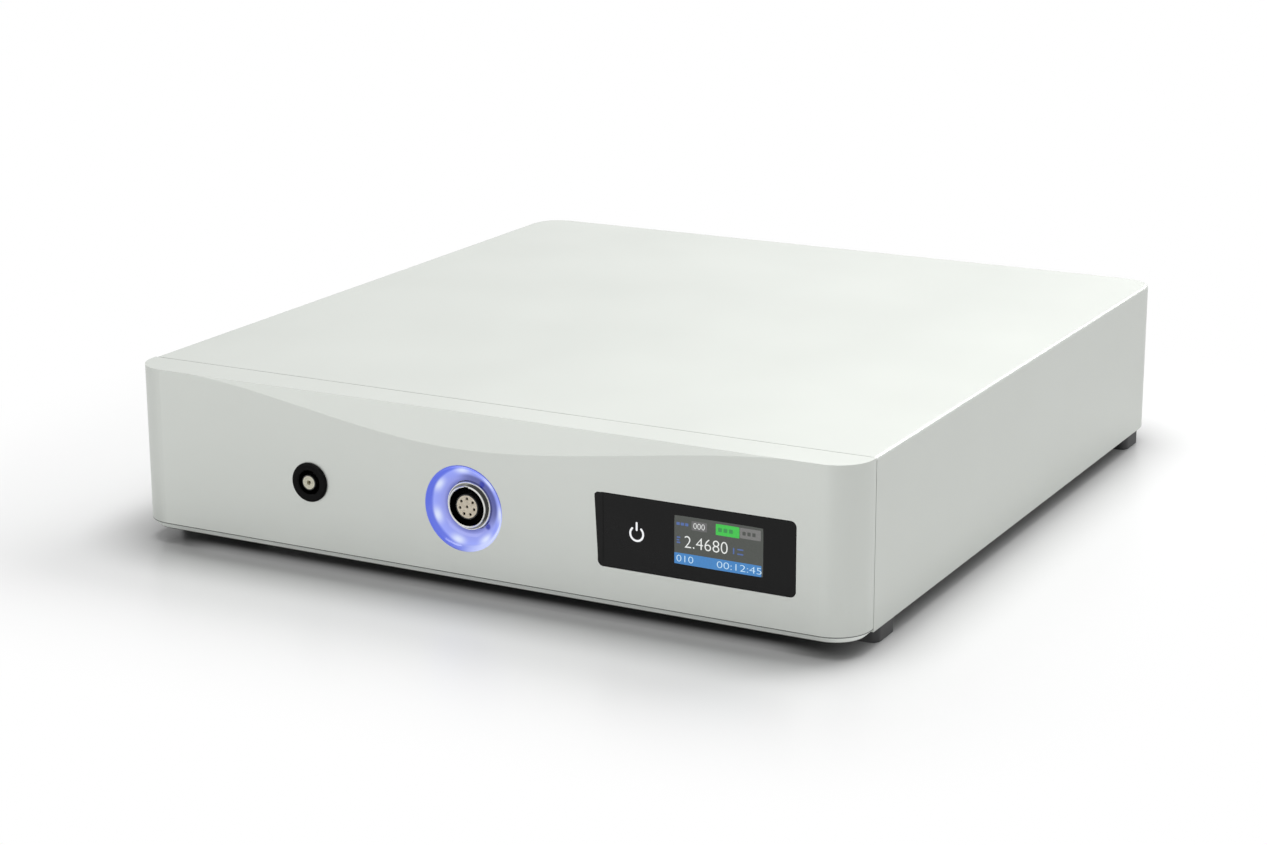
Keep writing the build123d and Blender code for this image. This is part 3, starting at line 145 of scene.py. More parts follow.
def build_sweep():
    """The floor: pale acrylic that keeps the shadow round the case and is white away from it.

    How far a point stands off a box is the length of what its x and y have beyond the half
    sizes. By smooth steps of that the floor's colour is painted near black under the middle of
    the case as a painted shadow, and a faint painted light glows along the foot of the front.
    By another, from a box set a little to the left, it turns white."""
    half = 12.0
    corners = [(-half, -half, 0), (half, -half, 0), (half, half, 0), (-half, half, 0)]
    mesh = bpy.data.meshes.new("sweep")
    mesh.from_pydata(corners, [], [(0, 1, 2, 3)])
    sweep = bpy.data.objects.new("sweep", mesh)
    bpy.context.scene.collection.objects.link(sweep)
    material, tree, shader = new_material("sweep_white")
    shader.inputs["Roughness"].default_value = 0.32
    shader.inputs["Specular IOR Level"].default_value = 0.5
    place = add_node(tree, "ShaderNodeTexCoord")

    def vector(operation, first, second=(0.0, 0.0, 0.0)):
        settings = {"operation": operation}
        return add_node(tree, "ShaderNodeVectorMath", settings, i0=first, i1=second).outputs

    def stands_off(half_x, half_y, shift=0.0):
        moved = vector("ADD", place.outputs["Object"], (shift, 0.0, 0.0))["Vector"]
        beyond = vector("SUBTRACT", vector("ABSOLUTE", moved)["Vector"], (half_x, half_y, 0.0))
        return vector("LENGTH", vector("MAXIMUM", beyond["Vector"])["Vector"])["Value"]

    # Painted shadow: the floor's colour runs from near black under the middle of the case to pale
    # grey.
    under = stands_off(0.11, 0.125, shift=0.006)
    painted_shadow_tone = smooth_step(tree, under, 0.0, 0.07, low=0.06, high=0.68)
    tree.links.new(painted_shadow_tone, shader.inputs["Base Color"])

    # Painted light: a faint white glow on the floor along the foot of the front, fading toward the
    # ends.
    front = stands_off(1.0, 0.1472)
    ends = stands_off(0.108, 1.0)
    painted_glow = smooth_step(tree, front, 0.0, 0.0085, low=0.0, high=0.155)
    for off, start, end in ((front, 0.0075, 0.018), (ends, 0.0, 0.03)):
        dimmed = smooth_step(tree, off, start, end, low=1.0, high=0.0)
        painted_glow = maths(tree, "MULTIPLY", painted_glow, dimmed)
    shader.inputs["Emission Color"].default_value = (1, 1, 1, 1)
    tree.links.new(painted_glow, shader.inputs["Emission Strength"])

    away = smooth_step(tree, stands_off(0.145, 0.153, shift=0.03), 0.01, 0.14)
    share = maths(tree, "MULTIPLY", away, seen_white(tree))
    white = add_node(tree, "ShaderNodeEmission", Color=(1, 1, 1, 1), Strength=1.0)
    surface = tree.nodes["Material Output"].inputs["Surface"]
    tree.links.new(mix_shaders(tree, share, shader, white), surface)
    mesh.materials.append(material)


def light_sky(lit):
    """An even world: surfaces are lit at the level given, and the backdrop shows as white.

    What the metal mirrors dims to either side, by a smooth step of the way's sideways part."""
    world = bpy.data.worlds.new("studio")
    bpy.context.scene.world = world
    world.use_nodes = True
    tree = world.node_tree
    dome = tree.nodes["Background"]
    dome.inputs["Color"].default_value = (0.985, 1.0, 1.0, 1)
    dome.inputs["Strength"].default_value = lit
    way = add_node(tree, "ShaderNodeTexCoord")
    parts = add_node(tree, "ShaderNodeSeparateXYZ", Vector=way.outputs["Generated"])
    aside = maths(tree, "ABSOLUTE", parts.outputs["X"])
    walls = smooth_step(tree, aside, 0.3, 0.9, low=1.0, high=0.82)
    ray = add_node(tree, "ShaderNodeLightPath")
    level = maths(tree, "MAXIMUM", walls, ray.outputs["Is Camera Ray"])
    paper = add_node(tree, "ShaderNodeBackground", Color=(1, 1, 1, 1), Strength=level)
    surface = tree.nodes["World Output"].inputs["Surface"]
    tree.links.new(mix_shaders(tree, seen_white(tree), dome, paper), surface)


def hang_softbox(name, place, size, watts, colour=(1.0, 1.0, 1.0)):
    """A rectangular lamp that faces the middle of the case.

    Its third axis points away from the case and its first is level."""
    middle = np.array([0.0, 0.0, 0.05])
    lamp = bpy.data.lights.new(name, "AREA")
    lamp.shape = "RECTANGLE"
    lamp.size, lamp.size_y = size
    lamp.energy = watts
    lamp.color = colour
    box = bpy.data.objects.new(name, lamp)
    way = middle - np.array(place)
    way /= np.linalg.norm(way)
    side = np.cross(way, [0.0, 0.0, 1.0])
    side /= np.linalg.norm(side)
    aim = np.eye(4)
    aim[:3, 0] = side
    aim[:3, 1] = np.cross(side, way)
    aim[:3, 2] = -way
    aim[:3, 3] = place
    box.matrix_world = Matrix(aim.tolist())
    bpy.context.scene.collection.objects.link(box)


build_sweep()
light_sky(0.31)
hang_softbox("softbox_overhead", (0.0, 0.1, 2.0), size=(1.4, 1.4), watts=31.0)
hang_softbox("softbox_back_right", (0.6, 1.3, 1.5), size=(1.2, 0.9), watts=23.0)
hang_softbox("softbox_back", (-0.2, 1.4, 1.5), size=(1.2, 0.9), watts=3.5, colour=(1.0, 1.0, 0.99))
hang_softbox("softbox_front_left", (-0.8, -2.12, 0.36), size=(1.8, 0.6), watts=6.6)


# Case
# Front block and folded cover in aluminium, blasted with fine beads and
# clear anodised: a matt, cloudy silver with a faint sparkle of grain.
MM = 0.001


def dress(material, *names):
    """Put one material into every slot of each CAD node named."""
    for name in names:
        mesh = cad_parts[name].data
        if not mesh.materials:
            mesh.materials.append(material)
        for i in range(len(mesh.materials)):
            mesh.materials[i] = material


def grain(tree, size, detail):
    """Noise with cells of the given size in metres, on the object's own coordinates."""
    place = add_node(tree, "ShaderNodeTexCoord")
    noise = add_node(
        tree,
        "ShaderNodeTexNoise",
        Vector=place.outputs["Object"],
        Scale=1.0 / size,
        Detail=detail,
        Roughness=0.5,
    )
    return noise.outputs["Fac"]


def between(tree, share, low, high):
    """A value that runs from low to high as the share runs over the middle of a noise."""
    node = add_node(
        tree, "ShaderNodeMapRange", Value=share, i1=0.3, i2=0.7, i3=low, i4=high
    )
    return node.outputs["Result"]


def blend(tree, share, first, second):
    """A colour that runs with the share from the first, a colour or a link, to the second."""
    start = (*first, 1) if isinstance(first, tuple) else first
    mix = add_node(
        tree, "ShaderNodeMix", {"data_type": "RGBA"}, i0=share, i6=start, i7=(*second, 1)
    )
    return mix.outputs[2]


def roughen(tree, shader, height, distance, strength=1.0):
    """Bump of the given depth in metres."""
    bump = add_node(
        tree, "ShaderNodeBump", Height=height, Distance=distance, Strength=strength
    )
    tree.links.new(bump.outputs["Normal"], shader.inputs["Normal"])


def clouded(
    name, dark, light, rough, grain_size, cloud_size, depth, metallic=1.0, rough_swing=0.03
):
    """A surface with clouds in its tone and roughness, and a fine grain of some depth."""
    material, tree, shader = new_material(name)
    cloud = grain(tree, cloud_size, 3.0)
    tone = blend(tree, between(tree, cloud, 0.0, 1.0), dark, light)
    tree.links.new(tone, shader.inputs["Base Color"])
    polish = between(tree, cloud, rough - rough_swing, rough + rough_swing)
    tree.links.new(polish, shader.inputs["Roughness"])
    shader.inputs["Metallic"].default_value = metallic
    roughen(tree, shader, grain(tree, grain_size, 1.0), depth)
    return material


silver = clouded(
    "silver_anodised",
    dark=(0.565, 0.585, 0.555),
    light=(0.58, 0.6, 0.57),
    rough=0.42,
    grain_size=0.35 * MM,
    cloud_size=60 * MM,
    depth=0.016 * MM,
    metallic=0.9,
    rough_swing=0.008,
)
dress(silver, "top_cover")


# Front panel
# Machined from a thick bar, with a chamfered lower edge. A dark line above that edge is painted
# shade of a fine groove. The strip below the line is painted lighter as painted light, with its
# normals bent forward, and the lowest edge is painted dark as painted shade.
def counted_from(tree, x, y, z):
    """The x, y and z of a point of the piece, counted from the place given."""
    place = add_node(tree, "ShaderNodeTexCoord")
    moved = add_node(
        tree, "ShaderNodeMapping", Vector=place.outputs["Object"], Location=(-x, -y, -z)
    )
    parts = add_node(tree, "ShaderNodeSeparateXYZ", Vector=moved.outputs["Vector"])
    return parts.outputs


def front_material():
    """The silver of the case, with painted light on the strip and painted shade on the line
    and the lower edge, chosen by height.

    In the strip the normal is the true one with a quarter of its upright part."""
    material = silver.copy()
    material.name = "silver_front"
    tree = material.node_tree
    shader = tree.nodes["Principled BSDF"]
    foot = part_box("front_panel")[0].z
    height = counted_from(tree, 0.0, 0.0, foot)["Z"]
    painted_light_strip = maths(tree, "LESS_THAN", height, 2.4 * MM)
    line = maths(tree, "COMPARE", height, 2.6 * MM, 0.2 * MM)
    edge = maths(tree, "LESS_THAN", height, 0.3 * MM)

    tone = shader.inputs["Base Color"].links[0].from_socket
    # Painted light: the strip below the line is made much lighter than the silver, so that it looks
    # lit.
    tone = blend(tree, painted_light_strip, tone, (0.86, 0.89, 0.85))
    # Painted shade: a dark line for the shade in a fine groove, and a dark lowest edge for the shade
    # under the panel.
    tone = blend(tree, line, tone, (0.16, 0.17, 0.16))
    tone = blend(tree, edge, tone, (0.12, 0.125, 0.12))
    tree.links.new(tone, shader.inputs["Base Color"])

    def vector(operation, **inputs):
        settings = {"operation": operation}
        return add_node(tree, "ShaderNodeVectorMath", settings, **inputs).outputs["Vector"]

    true = add_node(tree, "ShaderNodeNewGeometry").outputs["Normal"]
    level = vector("NORMALIZE", i0=vector("MULTIPLY", i0=true, i1=(1.0, 1.0, 0.25)))
    bump = shader.inputs["Normal"].links[0].from_socket
    bent = add_node(
        tree, "ShaderNodeMix", {"data_type": "VECTOR"}, i0=painted_light_strip, i4=bump, i5=level
    )
    tree.links.new(bent.outputs[1], shader.inputs["Normal"])
    return material


dress(front_material(), "front_panel")


# Floor plate, rear plate and brackets
# Sheet and bar aluminium with a satin finish.
satin = clouded(
    "satin_aluminium",
    dark=(0.46, 0.47, 0.47),
    light=(0.49, 0.5, 0.5),
    rough=0.38,
    grain_size=0.5 * MM,
    cloud_size=20 * MM,
    depth=0.01 * MM,
)
dress(satin, "base_plate", "cover_blocks", "connector_plate", "rear_panel")


# Screws
# Small machine screws in bright steel.
steel = clouded(
    "screw_steel",
    dark=(0.45, 0.45, 0.46),
    light=(0.6, 0.6, 0.61),
    rough=0.28,
    grain_size=0.2 * MM,
    cloud_size=2 * MM,
    depth=0.004 * MM,
)
dress(
    steel,
    "base_screws",
    "foot_screws",
    "display_screws",
    "plate_screws",
    "board_screws",
    "inlet_screws",
    "fan_screws",
)


# Feet and black mouldings
# Solid rubber feet, and the glass-filled plastic of the inlet, switch and fan.
def moulded(name, dark, light, rough, grain_size, depth, cloud_size=5 * MM, specular=0.5):
    """Plastic or rubber with an uneven tone and a moulded grain."""
    material = clouded(
        name, dark, light, rough, grain_size, cloud_size, depth, metallic=0.0, rough_swing=0.05
    )
    shader = material.node_tree.nodes["Principled BSDF"]
    shader.inputs["Specular IOR Level"].default_value = specular
    return material


rubber = moulded(
    "foot_rubber",
    dark=(0.05, 0.05, 0.052),
    light=(0.075, 0.075, 0.076),
    rough=0.6,
    grain_size=0.4 * MM,
    depth=0.02 * MM,
)
dress(rubber, "feet")
black_moulding = moulded(
    "moulding_black",
    dark=(0.022, 0.022, 0.024),
    light=(0.034, 0.034, 0.036),
    rough=0.45,
    grain_size=0.35 * MM,
    depth=0.015 * MM,
)
dress(black_moulding, "power_inlet", "switch_frame", "switch_rocker", "fan_frame", "fan_rotor")


# Window
# One polished black acrylic pane over the power key and the screen.
pane = moulded(
    "window_black",
    dark=(0.004, 0.004, 0.004),
    light=(0.006, 0.006, 0.006),
    rough=0.09,
    grain_size=6 * MM,
    depth=0.002 * MM,
    cloud_size=30 * MM,
    specular=0.18,
)
dress(pane, "display_window")
pane_low, pane_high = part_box("display_window")
pane_front = pane_low.y


def glowing(name, colour, strength=1.0, mottling=0.06, size=0.3 * MM):
    """A lit surface with the fine unevenness of its dots."""
    material, tree, shader = new_material(name)
    shader.inputs["Roughness"].default_value = 0.4
    shader.inputs["Base Color"].default_value = (0.01, 0.01, 0.01, 1)
    tone = between(tree, grain(tree, size, 1.0), 0.0, 1.0)
    low = tuple(c * (1 - mottling) for c in colour)
    high = tuple(min(1.0, c * (1 + mottling)) for c in colour)
    tree.links.new(blend(tree, tone, low, high), shader.inputs["Emission Color"])
    shader.inputs["Emission Strength"].default_value = strength
    return material


def add_piece(name, mesh, materials, body):
    """Put a finished mesh in the scene as a piece on its body."""
    for material in materials:
        mesh.materials.append(material)
    piece = bpy.data.objects.new(name, mesh)
    bpy.context.scene.collection.objects.link(piece)
    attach(piece, body)


def grid_faces(rows, columns):
    """Corner numbers of the quads on a grid of points."""
    i, j = np.meshgrid(np.arange(rows - 1), np.arange(columns - 1), indexing="ij")
    first = (i * columns + j).ravel()
    return np.stack([first, first + 1, first + columns + 1, first + columns], axis=-1)


def mesh_of(name, points, faces, material_index=None):
    """A flat-shaded mesh from arrays of points and faces."""
    mesh = bpy.data.meshes.new(name)
    places = np.asarray(points, float).reshape(-1, 3)
    mesh.from_pydata(places.tolist(), [], np.asarray(faces).tolist())
    mesh.polygons.foreach_set("use_smooth", np.full(len(mesh.polygons), False))
    if material_index is not None:
        mesh.polygons.foreach_set("material_index", np.asarray(material_index, np.int32))
    mesh.update()
    return mesh


# Window's left edge
# The black border of the pane leans: at the top it reaches a little further left.
def leaning_edge():
    """A flat sliver: a ribbon from the lower left of the pane to its top, whose left side
    leans outwards and whose upper left corner is a quarter circle."""
    lean, corner = 1.3 * MM, 1.1 * MM
    start, overlap = 1.4 * MM, 2.0 * MM
    rows, columns = 33, 3
    front = min(pane_front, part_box("front_panel")[0].y) - 0.01 * MM
    height = np.linspace(pane_low.z + start, pane_high.z, rows)
    share = (height - height[0]) / (height[-1] - height[0])
    cut = np.clip(height - (pane_high.z - corner), 0, corner)
    left = pane_low.x - lean * share + corner - np.sqrt(corner**2 - cut**2)
    right = np.full_like(height, pane_low.x + overlap)
    across = np.linspace(0, 1, columns)
    x = left[:, None] + (right - left)[:, None] * across
    z = np.repeat(height[:, None], columns, axis=1)
    points = np.stack([x, np.full_like(x, front), z], axis=-1)
    return mesh_of("window_edge", points, grid_faces(rows, columns))


add_piece("window_edge", leaning_edge(), [pane], "case")


# Power key
# A touch key: the usual ring and bar, lit in white from behind the pane.
def power_symbol():
    """A broken ring and an upright bar, each a band with round ends.

    A band is a line carried sideways by half its stroke: along the ring the points are
    centre + radius * (sin t, cos t), and at each end the side offset falls to nothing on a
    half circle."""
    centre = np.array([64.9, 33.0]) * MM
    radius = 2.45 * MM
    stroke = 0.7 * MM
    gap = np.radians(34)
    ring_points, bar_points = 97, 25
    turn = gap + np.linspace(0, 1, ring_points) * (2 * np.pi - 2 * gap)
    ring = centre + radius * np.stack([np.sin(turn), np.cos(turn)], axis=-1)
    height = np.linspace(34.0 * MM, 37.2 * MM, bar_points)
    bar = np.stack([np.full_like(height, centre[0]), height], axis=-1)
    across = np.linspace(-1, 1, 5)
    points, faces = [], []
    for line in (ring, bar):
        step = np.gradient(line, axis=0)
        step /= np.linalg.norm(step, axis=1, keepdims=True)
        side = np.stack([-step[:, 1], step[:, 0]], axis=-1)
        run = np.concatenate([[0], np.cumsum(np.linalg.norm(np.diff(line, axis=0), axis=1))])
        from_end = np.minimum(run, run[-1] - run)
        inset = np.clip(stroke / 2 - from_end, 0, stroke / 2)
        half = np.sqrt(np.maximum((stroke / 2) ** 2 - inset**2, 0))
        half = np.maximum(half, stroke / 40)
        flat = line[:, None, :] + across[None, :, None] * (side * half[:, None])[:, None, :]
        depth = np.full(flat.shape[:2], pane_front - 0.02 * MM)
        start = sum(len(p) for p in points)
        points.append(np.stack([flat[..., 0], depth, flat[..., 1]], axis=-1).reshape(-1, 3))
        faces.append(grid_faces(len(line), len(across)) + start)
    return mesh_of("power_symbol", np.concatenate(points), np.concatenate(faces))


key_light = glowing("key_white", (0.93, 0.94, 0.96), strength=0.95, mottling=0.04)
add_piece("power_symbol", power_symbol(), [key_light], "case")


# Screen
# The lit picture of the colour module, seen flush with the pane: a dark field,
# a reading, three state boxes and a bar with a running clock.
def patches(name, boxes, lift, rounding):
    """Flat patches that stand off the pane by the lift.

    A box is its low x, low z, high x and high z in millimetres, and the number of its
    material. Each patch is an 8 by 8 grid whose corner points are pulled in by the rounding."""
    share = np.linspace(0, 1, 8)
    u, v = np.meshgrid(share, share, indexing="ij")
    at_corner = (np.abs(u - 0.5) == 0.5) & (np.abs(v - 0.5) == 0.5)
    pull = np.where(at_corner, rounding, 0.0)
    points, faces, index = [], [], []
    for *box, material in boxes:
        low_x, low_z, high_x, high_z = np.array(box) * MM
        x = low_x + (high_x - low_x) * u + pull * np.sign(0.5 - u)
        z = low_z + (high_z - low_z) * v + pull * np.sign(0.5 - v)
        y = np.full_like(x, pane_front - lift)
        start = sum(len(p) for p in points)
        points.append(np.stack([x, y, z], axis=-1).reshape(-1, 3))
        quads = grid_faces(len(share), len(share))[:, ::-1] + start
        faces.append(quads)
        index.append(np.full(len(quads), material))
    return mesh_of(
        name, np.concatenate(points), np.concatenate(faces), np.concatenate(index)
    )


field_grey = glowing("screen_field", (0.05, 0.056, 0.048), mottling=0.1)
bar_blue = glowing("screen_bar", (0.035, 0.2, 0.5), mottling=0.08)
box_green = glowing("screen_green", (0.03, 0.5, 0.05), mottling=0.08)
box_grey = glowing("screen_grey", (0.16, 0.16, 0.155), mottling=0.1)
box_dim = glowing("screen_dim", (0.11, 0.11, 0.11), mottling=0.1)
mark_blue = glowing("screen_mark", (0.06, 0.12, 0.34), mottling=0.1)
mark_green = glowing("screen_green_dark", (0.02, 0.25, 0.05))
digit_white = glowing("screen_digit", (0.78, 0.8, 0.78), mottling=0.05)
digit_pale = glowing("screen_clock", (0.52, 0.72, 0.88), mottling=0.08)

field = [(79.1, 24.95, 111.8, 41.85, 0)]
add_piece(
    "screen_field",
    patches("screen_field", field, lift=0.015 * MM, rounding=0.1 * MM),
    [field_grey],
    "case",
)

boxes = [
    (79.1, 24.95, 111.2, 28.85, 0),
    (94.45, 37.1, 103.1, 40.95, 1),
    (103.3, 37.3, 110.9, 40.9, 2),
    (85.5, 37.4, 91.2, 40.6, 3),
]
add_piece(
    "screen_boxes",
    patches("screen_boxes", boxes, lift=0.025 * MM, rounding=0.04 * MM),
    [bar_blue, box_green, box_grey, box_dim],
    "case",
)

marks = [
    (79.9, 38.5, 81.1, 39.5, 0),
    (81.5, 38.5, 82.7, 39.5, 0),
    (83.1, 38.5, 84.3, 39.5, 0),
    (80.0, 32.2, 81.3, 32.7, 0),
    (80.0, 33.1, 81.0, 33.6, 0),
    (80.0, 34.0, 81.3, 34.5, 0),
    (100.8, 31.4, 101.3, 33.6, 0),
    (102.4, 31.4, 104.6, 31.9, 0),
    (102.4, 33.0, 104.6, 33.5, 0),
    (95.3, 38.3, 96.7, 39.7, 1),
    (97.3, 38.3, 98.7, 39.7, 1),
    (99.3, 38.3, 100.7, 39.7, 1),
    (104.2, 38.4, 105.4, 39.7, 2),
    (106.0, 38.4, 107.2, 39.7, 2),
    (107.8, 38.4, 109.0, 39.7, 2),
]
add_piece(
    "screen_marks",
    patches("screen_marks", marks, lift=0.035 * MM, rounding=0.04 * MM),
    [mark_blue, mark_green, field_grey],
    "case",
)


def screen_text(name, words, material, left, base, height, stretch=1.0):
    """Figures on the screen: flat outlines turned into a mesh, scaled to a height and stood
    upright. The stretch widens them."""
    outline = bpy.data.curves.new(name, "FONT")
    outline.body = words
    outline.size = 1.0
    outline.offset = -0.012
    holder = bpy.data.objects.new(name, outline)
    mesh = bpy.data.meshes.new_from_object(holder)
    bpy.data.objects.remove(holder)
    bpy.data.curves.remove(outline)
    mesh.name = name
    flat = np.zeros(len(mesh.vertices) * 3)
    mesh.vertices.foreach_get("co", flat)
    flat = flat.reshape(-1, 3)
    flat -= [flat[:, 0].min(), flat[:, 1].min(), 0]
    scale = height / flat[:, 1].max()
    x = left + flat[:, 0] * scale * stretch
    z = base + flat[:, 1] * scale
    y = np.full(len(flat), pane_front - 0.045 * MM)
    mesh.vertices.foreach_set("co", np.stack([x, y, z], axis=-1).ravel())
    mesh.materials.clear()
    mesh.update()
    add_piece(name, mesh, [material], "case")


screen_text(
    "screen_reading", "2.4680", digit_white, left=82.9 * MM, base=31.0 * MM, height=4.1 * MM
)
screen_text(
    "screen_channel",
    "010",
    digit_pale,
    left=79.9 * MM,
    base=25.8 * MM,
    height=2.3 * MM,
    stretch=1.3,
)
screen_text(
    "screen_clock",
    "00:12:45",
    digit_pale,
    left=94.9 * MM,
    base=25.8 * MM,
    height=2.3 * MM,
    stretch=1.45,
)
screen_text(
    "screen_state", "000", digit_white, left=86.2 * MM, base=38.0 * MM, height=2.0 * MM
)


# Light ring
# A clear moulded dish lit blue by seven lamps on the board behind it. Its floor glows
# in pale lavender with a white spot over each lamp, and its steep outer wall is deeper blue.
def length(tree, first, second):
    """How long a way is that has two parts at right angles."""
    squares = [maths(tree, "MULTIPLY", part, part) for part in (first, second)]
    return maths(tree, "SQRT", maths(tree, "ADD", *squares))


def ring_material():
    """Blue glow that depends on the place about the socket's axis.

    The radius sets the base tone. The spots are the cosine of seven times the angle, raised
    to a power, times a bell curve of the radius. By the cosine of the angle, the wall is painted
    paler at the lower right as a painted highlight and is bluer at the left, and the floor near
    the socket at the upper right is painted greyer as the socket's painted shade and the painted
    reflection of its shell. Two deep blue marks lie near the socket at the right."""
    material, tree, shader = new_material("ring_lit")
    low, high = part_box("light_ring")
    centre = (low + high) / 2
    parts = counted_from(tree, centre.x, 0.0, centre.z)
    x, z = parts["X"], parts["Z"]
    radius = length(tree, x, z)
    angle = maths(tree, "ARCTAN2", z, x)

    def facing(degrees, start, end):
        aside = maths(tree, "COSINE", maths(tree, "SUBTRACT", angle, np.radians(degrees)))
        return smooth_step(tree, aside, start, end)

    def times(first, second):
        return maths(tree, "MULTIPLY", first, second)

    inner, width = 9.1, 6.5
    share = maths(tree, "MULTIPLY_ADD", radius, 1 / (width * MM), -inner / width)
    ramp = add_node(tree, "ShaderNodeValToRGB", i0=share)
    stops = ramp.color_ramp.elements
    stops[0].position, stops[0].color = 0.0, (0.14, 0.16, 0.45, 1)
    stops[1].position, stops[1].color = 1.0, (0.05, 0.07, 0.42, 1)
    for position, colour in (
        (0.18, (0.28, 0.31, 0.74, 1)),
        (0.45, (0.31, 0.36, 0.88, 1)),
        (0.66, (0.33, 0.39, 0.95, 1)),
        (0.8, (0.13, 0.18, 0.74, 1)),
        (0.91, (0.14, 0.19, 0.75, 1)),
    ):
        stops.new(position).color = colour

    # Painted highlight: the outer wall is made paler at the lower right.
    painted_rim_highlight = times(
        facing(318.0, 0.45, 0.95), smooth_step(tree, radius, 13.3 * MM, 14.3 * MM)
    )
    tone = blend(tree, painted_rim_highlight, ramp.outputs["Color"], (0.58, 0.64, 0.98))

    lamps, first_turn, sharpness = 7.0, np.radians(33.8), 1.9
    spot_radius, spot_spread = 13.1 * MM, 1.25 * MM
    wave = maths(tree, "COSINE", maths(tree, "MULTIPLY_ADD", angle, lamps, first_turn))
    peak = maths(tree, "POWER", maths(tree, "MULTIPLY_ADD", wave, 0.5, 0.5), sharpness)
    off = maths(tree, "DIVIDE", maths(tree, "SUBTRACT", radius, spot_radius), spot_spread)
    bell = maths(tree, "POWER", 2.718, times(times(off, off), -1.0))
    tone = blend(tree, times(peak, bell), tone, (0.76, 0.83, 1.0))

    wall = times(
        smooth_step(tree, radius, 13.5 * MM, 14.3 * MM), facing(180.0, -0.1, 0.7)
    )
    tone = blend(tree, wall, tone, (0.11, 0.155, 0.72))
    # Painted shade: the floor near the socket at the upper right is made greyer, for the socket's
    # shade and the reflection of its shell.
    painted_shade_near_socket = smooth_step(tree, radius, 10.6 * MM, 12.0 * MM, low=1.0, high=0.0)
    tone = blend(tree, times(facing(38.0, 0.1, 0.75), painted_shade_near_socket), tone, (0.1, 0.11, 0.3))

    mark_reach = 9.9 * MM
    for turn in np.radians([58.0, 318.0]):
        across = maths(tree, "SUBTRACT", x, mark_reach * np.cos(turn))
        along = maths(tree, "SUBTRACT", z, mark_reach * np.sin(turn))
        away = length(tree, across, along)
        close = smooth_step(tree, away, 0.6 * MM, 1.5 * MM, low=1.0, high=0.0)
        tone = blend(tree, close, tone, (0.015, 0.025, 0.32))

    tree.links.new(tone, shader.inputs["Emission Color"])
    shader.inputs["Emission Strength"].default_value = 0.86
    shader.inputs["Base Color"].default_value = (0.04, 0.05, 0.16, 1)
    haze = grain(tree, 2 * MM, 2.0)
    tree.links.new(between(tree, haze, 0.1, 0.17), shader.inputs["Roughness"])
    roughen(tree, shader, haze, 0.01 * MM)
    return material


dress(ring_material(), "light_ring")
lamp_white = glowing(
    "lamp_white", (0.7, 0.76, 1.0), strength=2.5, mottling=0.05, size=0.5 * MM
)
dress(lamp_white, "leds")


# Sockets
# Nickelled brass shells, black and beige insulators and gilt contacts.
nickel = clouded(
    "nickel_bright",
    dark=(0.66, 0.66, 0.63),
    light=(0.78, 0.78, 0.75),
    rough=0.17,
    grain_size=0.3 * MM,
    cloud_size=2 * MM,
    depth=0.003 * MM,
)
dress(nickel, "cell_socket_nut", "sense_socket_nut", "bnc_bodies", "bnc_nuts")


def banded(plain, name, node, bands):
    """A copy of a material with other tones in bands about the axis through a node.

    Each band is its inner and outer radius, how far behind the node's front it starts, and
    its colour."""
    material = plain.copy()
    material.name = name
    tree = material.node_tree
    shader = tree.nodes["Principled BSDF"]
    low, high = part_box(node)
    centre = (low + high) / 2
    parts = counted_from(tree, centre.x, low.y, centre.z)
    radius = length(tree, parts["X"], parts["Z"])
    tone = shader.inputs["Base Color"].links[0].from_socket
    for inner, outer, depth, colour in bands:
        share = maths(tree, "GREATER_THAN", radius, inner)
        for test in (
            maths(tree, "LESS_THAN", radius, outer),
            maths(tree, "GREATER_THAN", parts["Y"], depth),
        ):
            share = maths(tree, "MULTIPLY", share, test)
        tone = blend(tree, share, tone, colour)
    tree.links.new(tone, shader.inputs["Base Color"])
    return material


# Painted shade: near black, for the shade in the bores and gaps of the sockets.
painted_bore_shade = (0.012, 0.012, 0.012)
below_all, above_all = -1.0, 1.0
# Painted shade: the shell's bore is painted near black, and a dark grey ring is painted round the
# outside of its nose.
painted_mouth_shade = banded(
    nickel,
    "nickel_dark_mouth",
    "cell_socket_shell",
    [
        (7.5 * MM, 8.25 * MM, 0.25 * MM, (0.2, 0.2, 0.19)),
        (below_all, 6.97 * MM, 0.25 * MM, painted_bore_shade),
    ],
)
dress(painted_mouth_shade, "cell_socket_shell")

beige = moulded(
    "insert_beige",
    dark=(0.72, 0.63, 0.49),
    light=(0.84, 0.75, 0.59),
    rough=0.5,
    grain_size=0.25 * MM,
    depth=0.01 * MM,
    cloud_size=1.5 * MM,
)
insert_low, insert_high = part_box("cell_socket_insert")
disc_radius = 0.91 * (insert_high.x - insert_low.x) / 2
# Painted shade: the insert is painted near black outside its middle disc, for the shade of the gap
# round it.
beige_rim_painted_shade = [(disc_radius, above_all, below_all, painted_bore_shade)]
beige_disc = banded(beige, "insert_beige_disc", "cell_socket_insert", beige_rim_painted_shade)
dress(beige_disc, "cell_socket_insert")

cream = moulded(
    "insert_cream",
    dark=(0.66, 0.63, 0.5),
    light=(0.75, 0.72, 0.58),
    rough=0.4,
    grain_size=0.25 * MM,
    depth=0.01 * MM,
    cloud_size=1.5 * MM,
)
# Painted shade: the insulator is painted near black outside a 2.45 mm disc, for the shade of the bore.
cream_rim_painted_shade = [(2.45 * MM, above_all, below_all, painted_bore_shade)]
cream_disc = banded(cream, "insert_cream_disc", "sense_socket_insulator", cream_rim_painted_shade)
dress(cream_disc, "sense_socket_insulator")

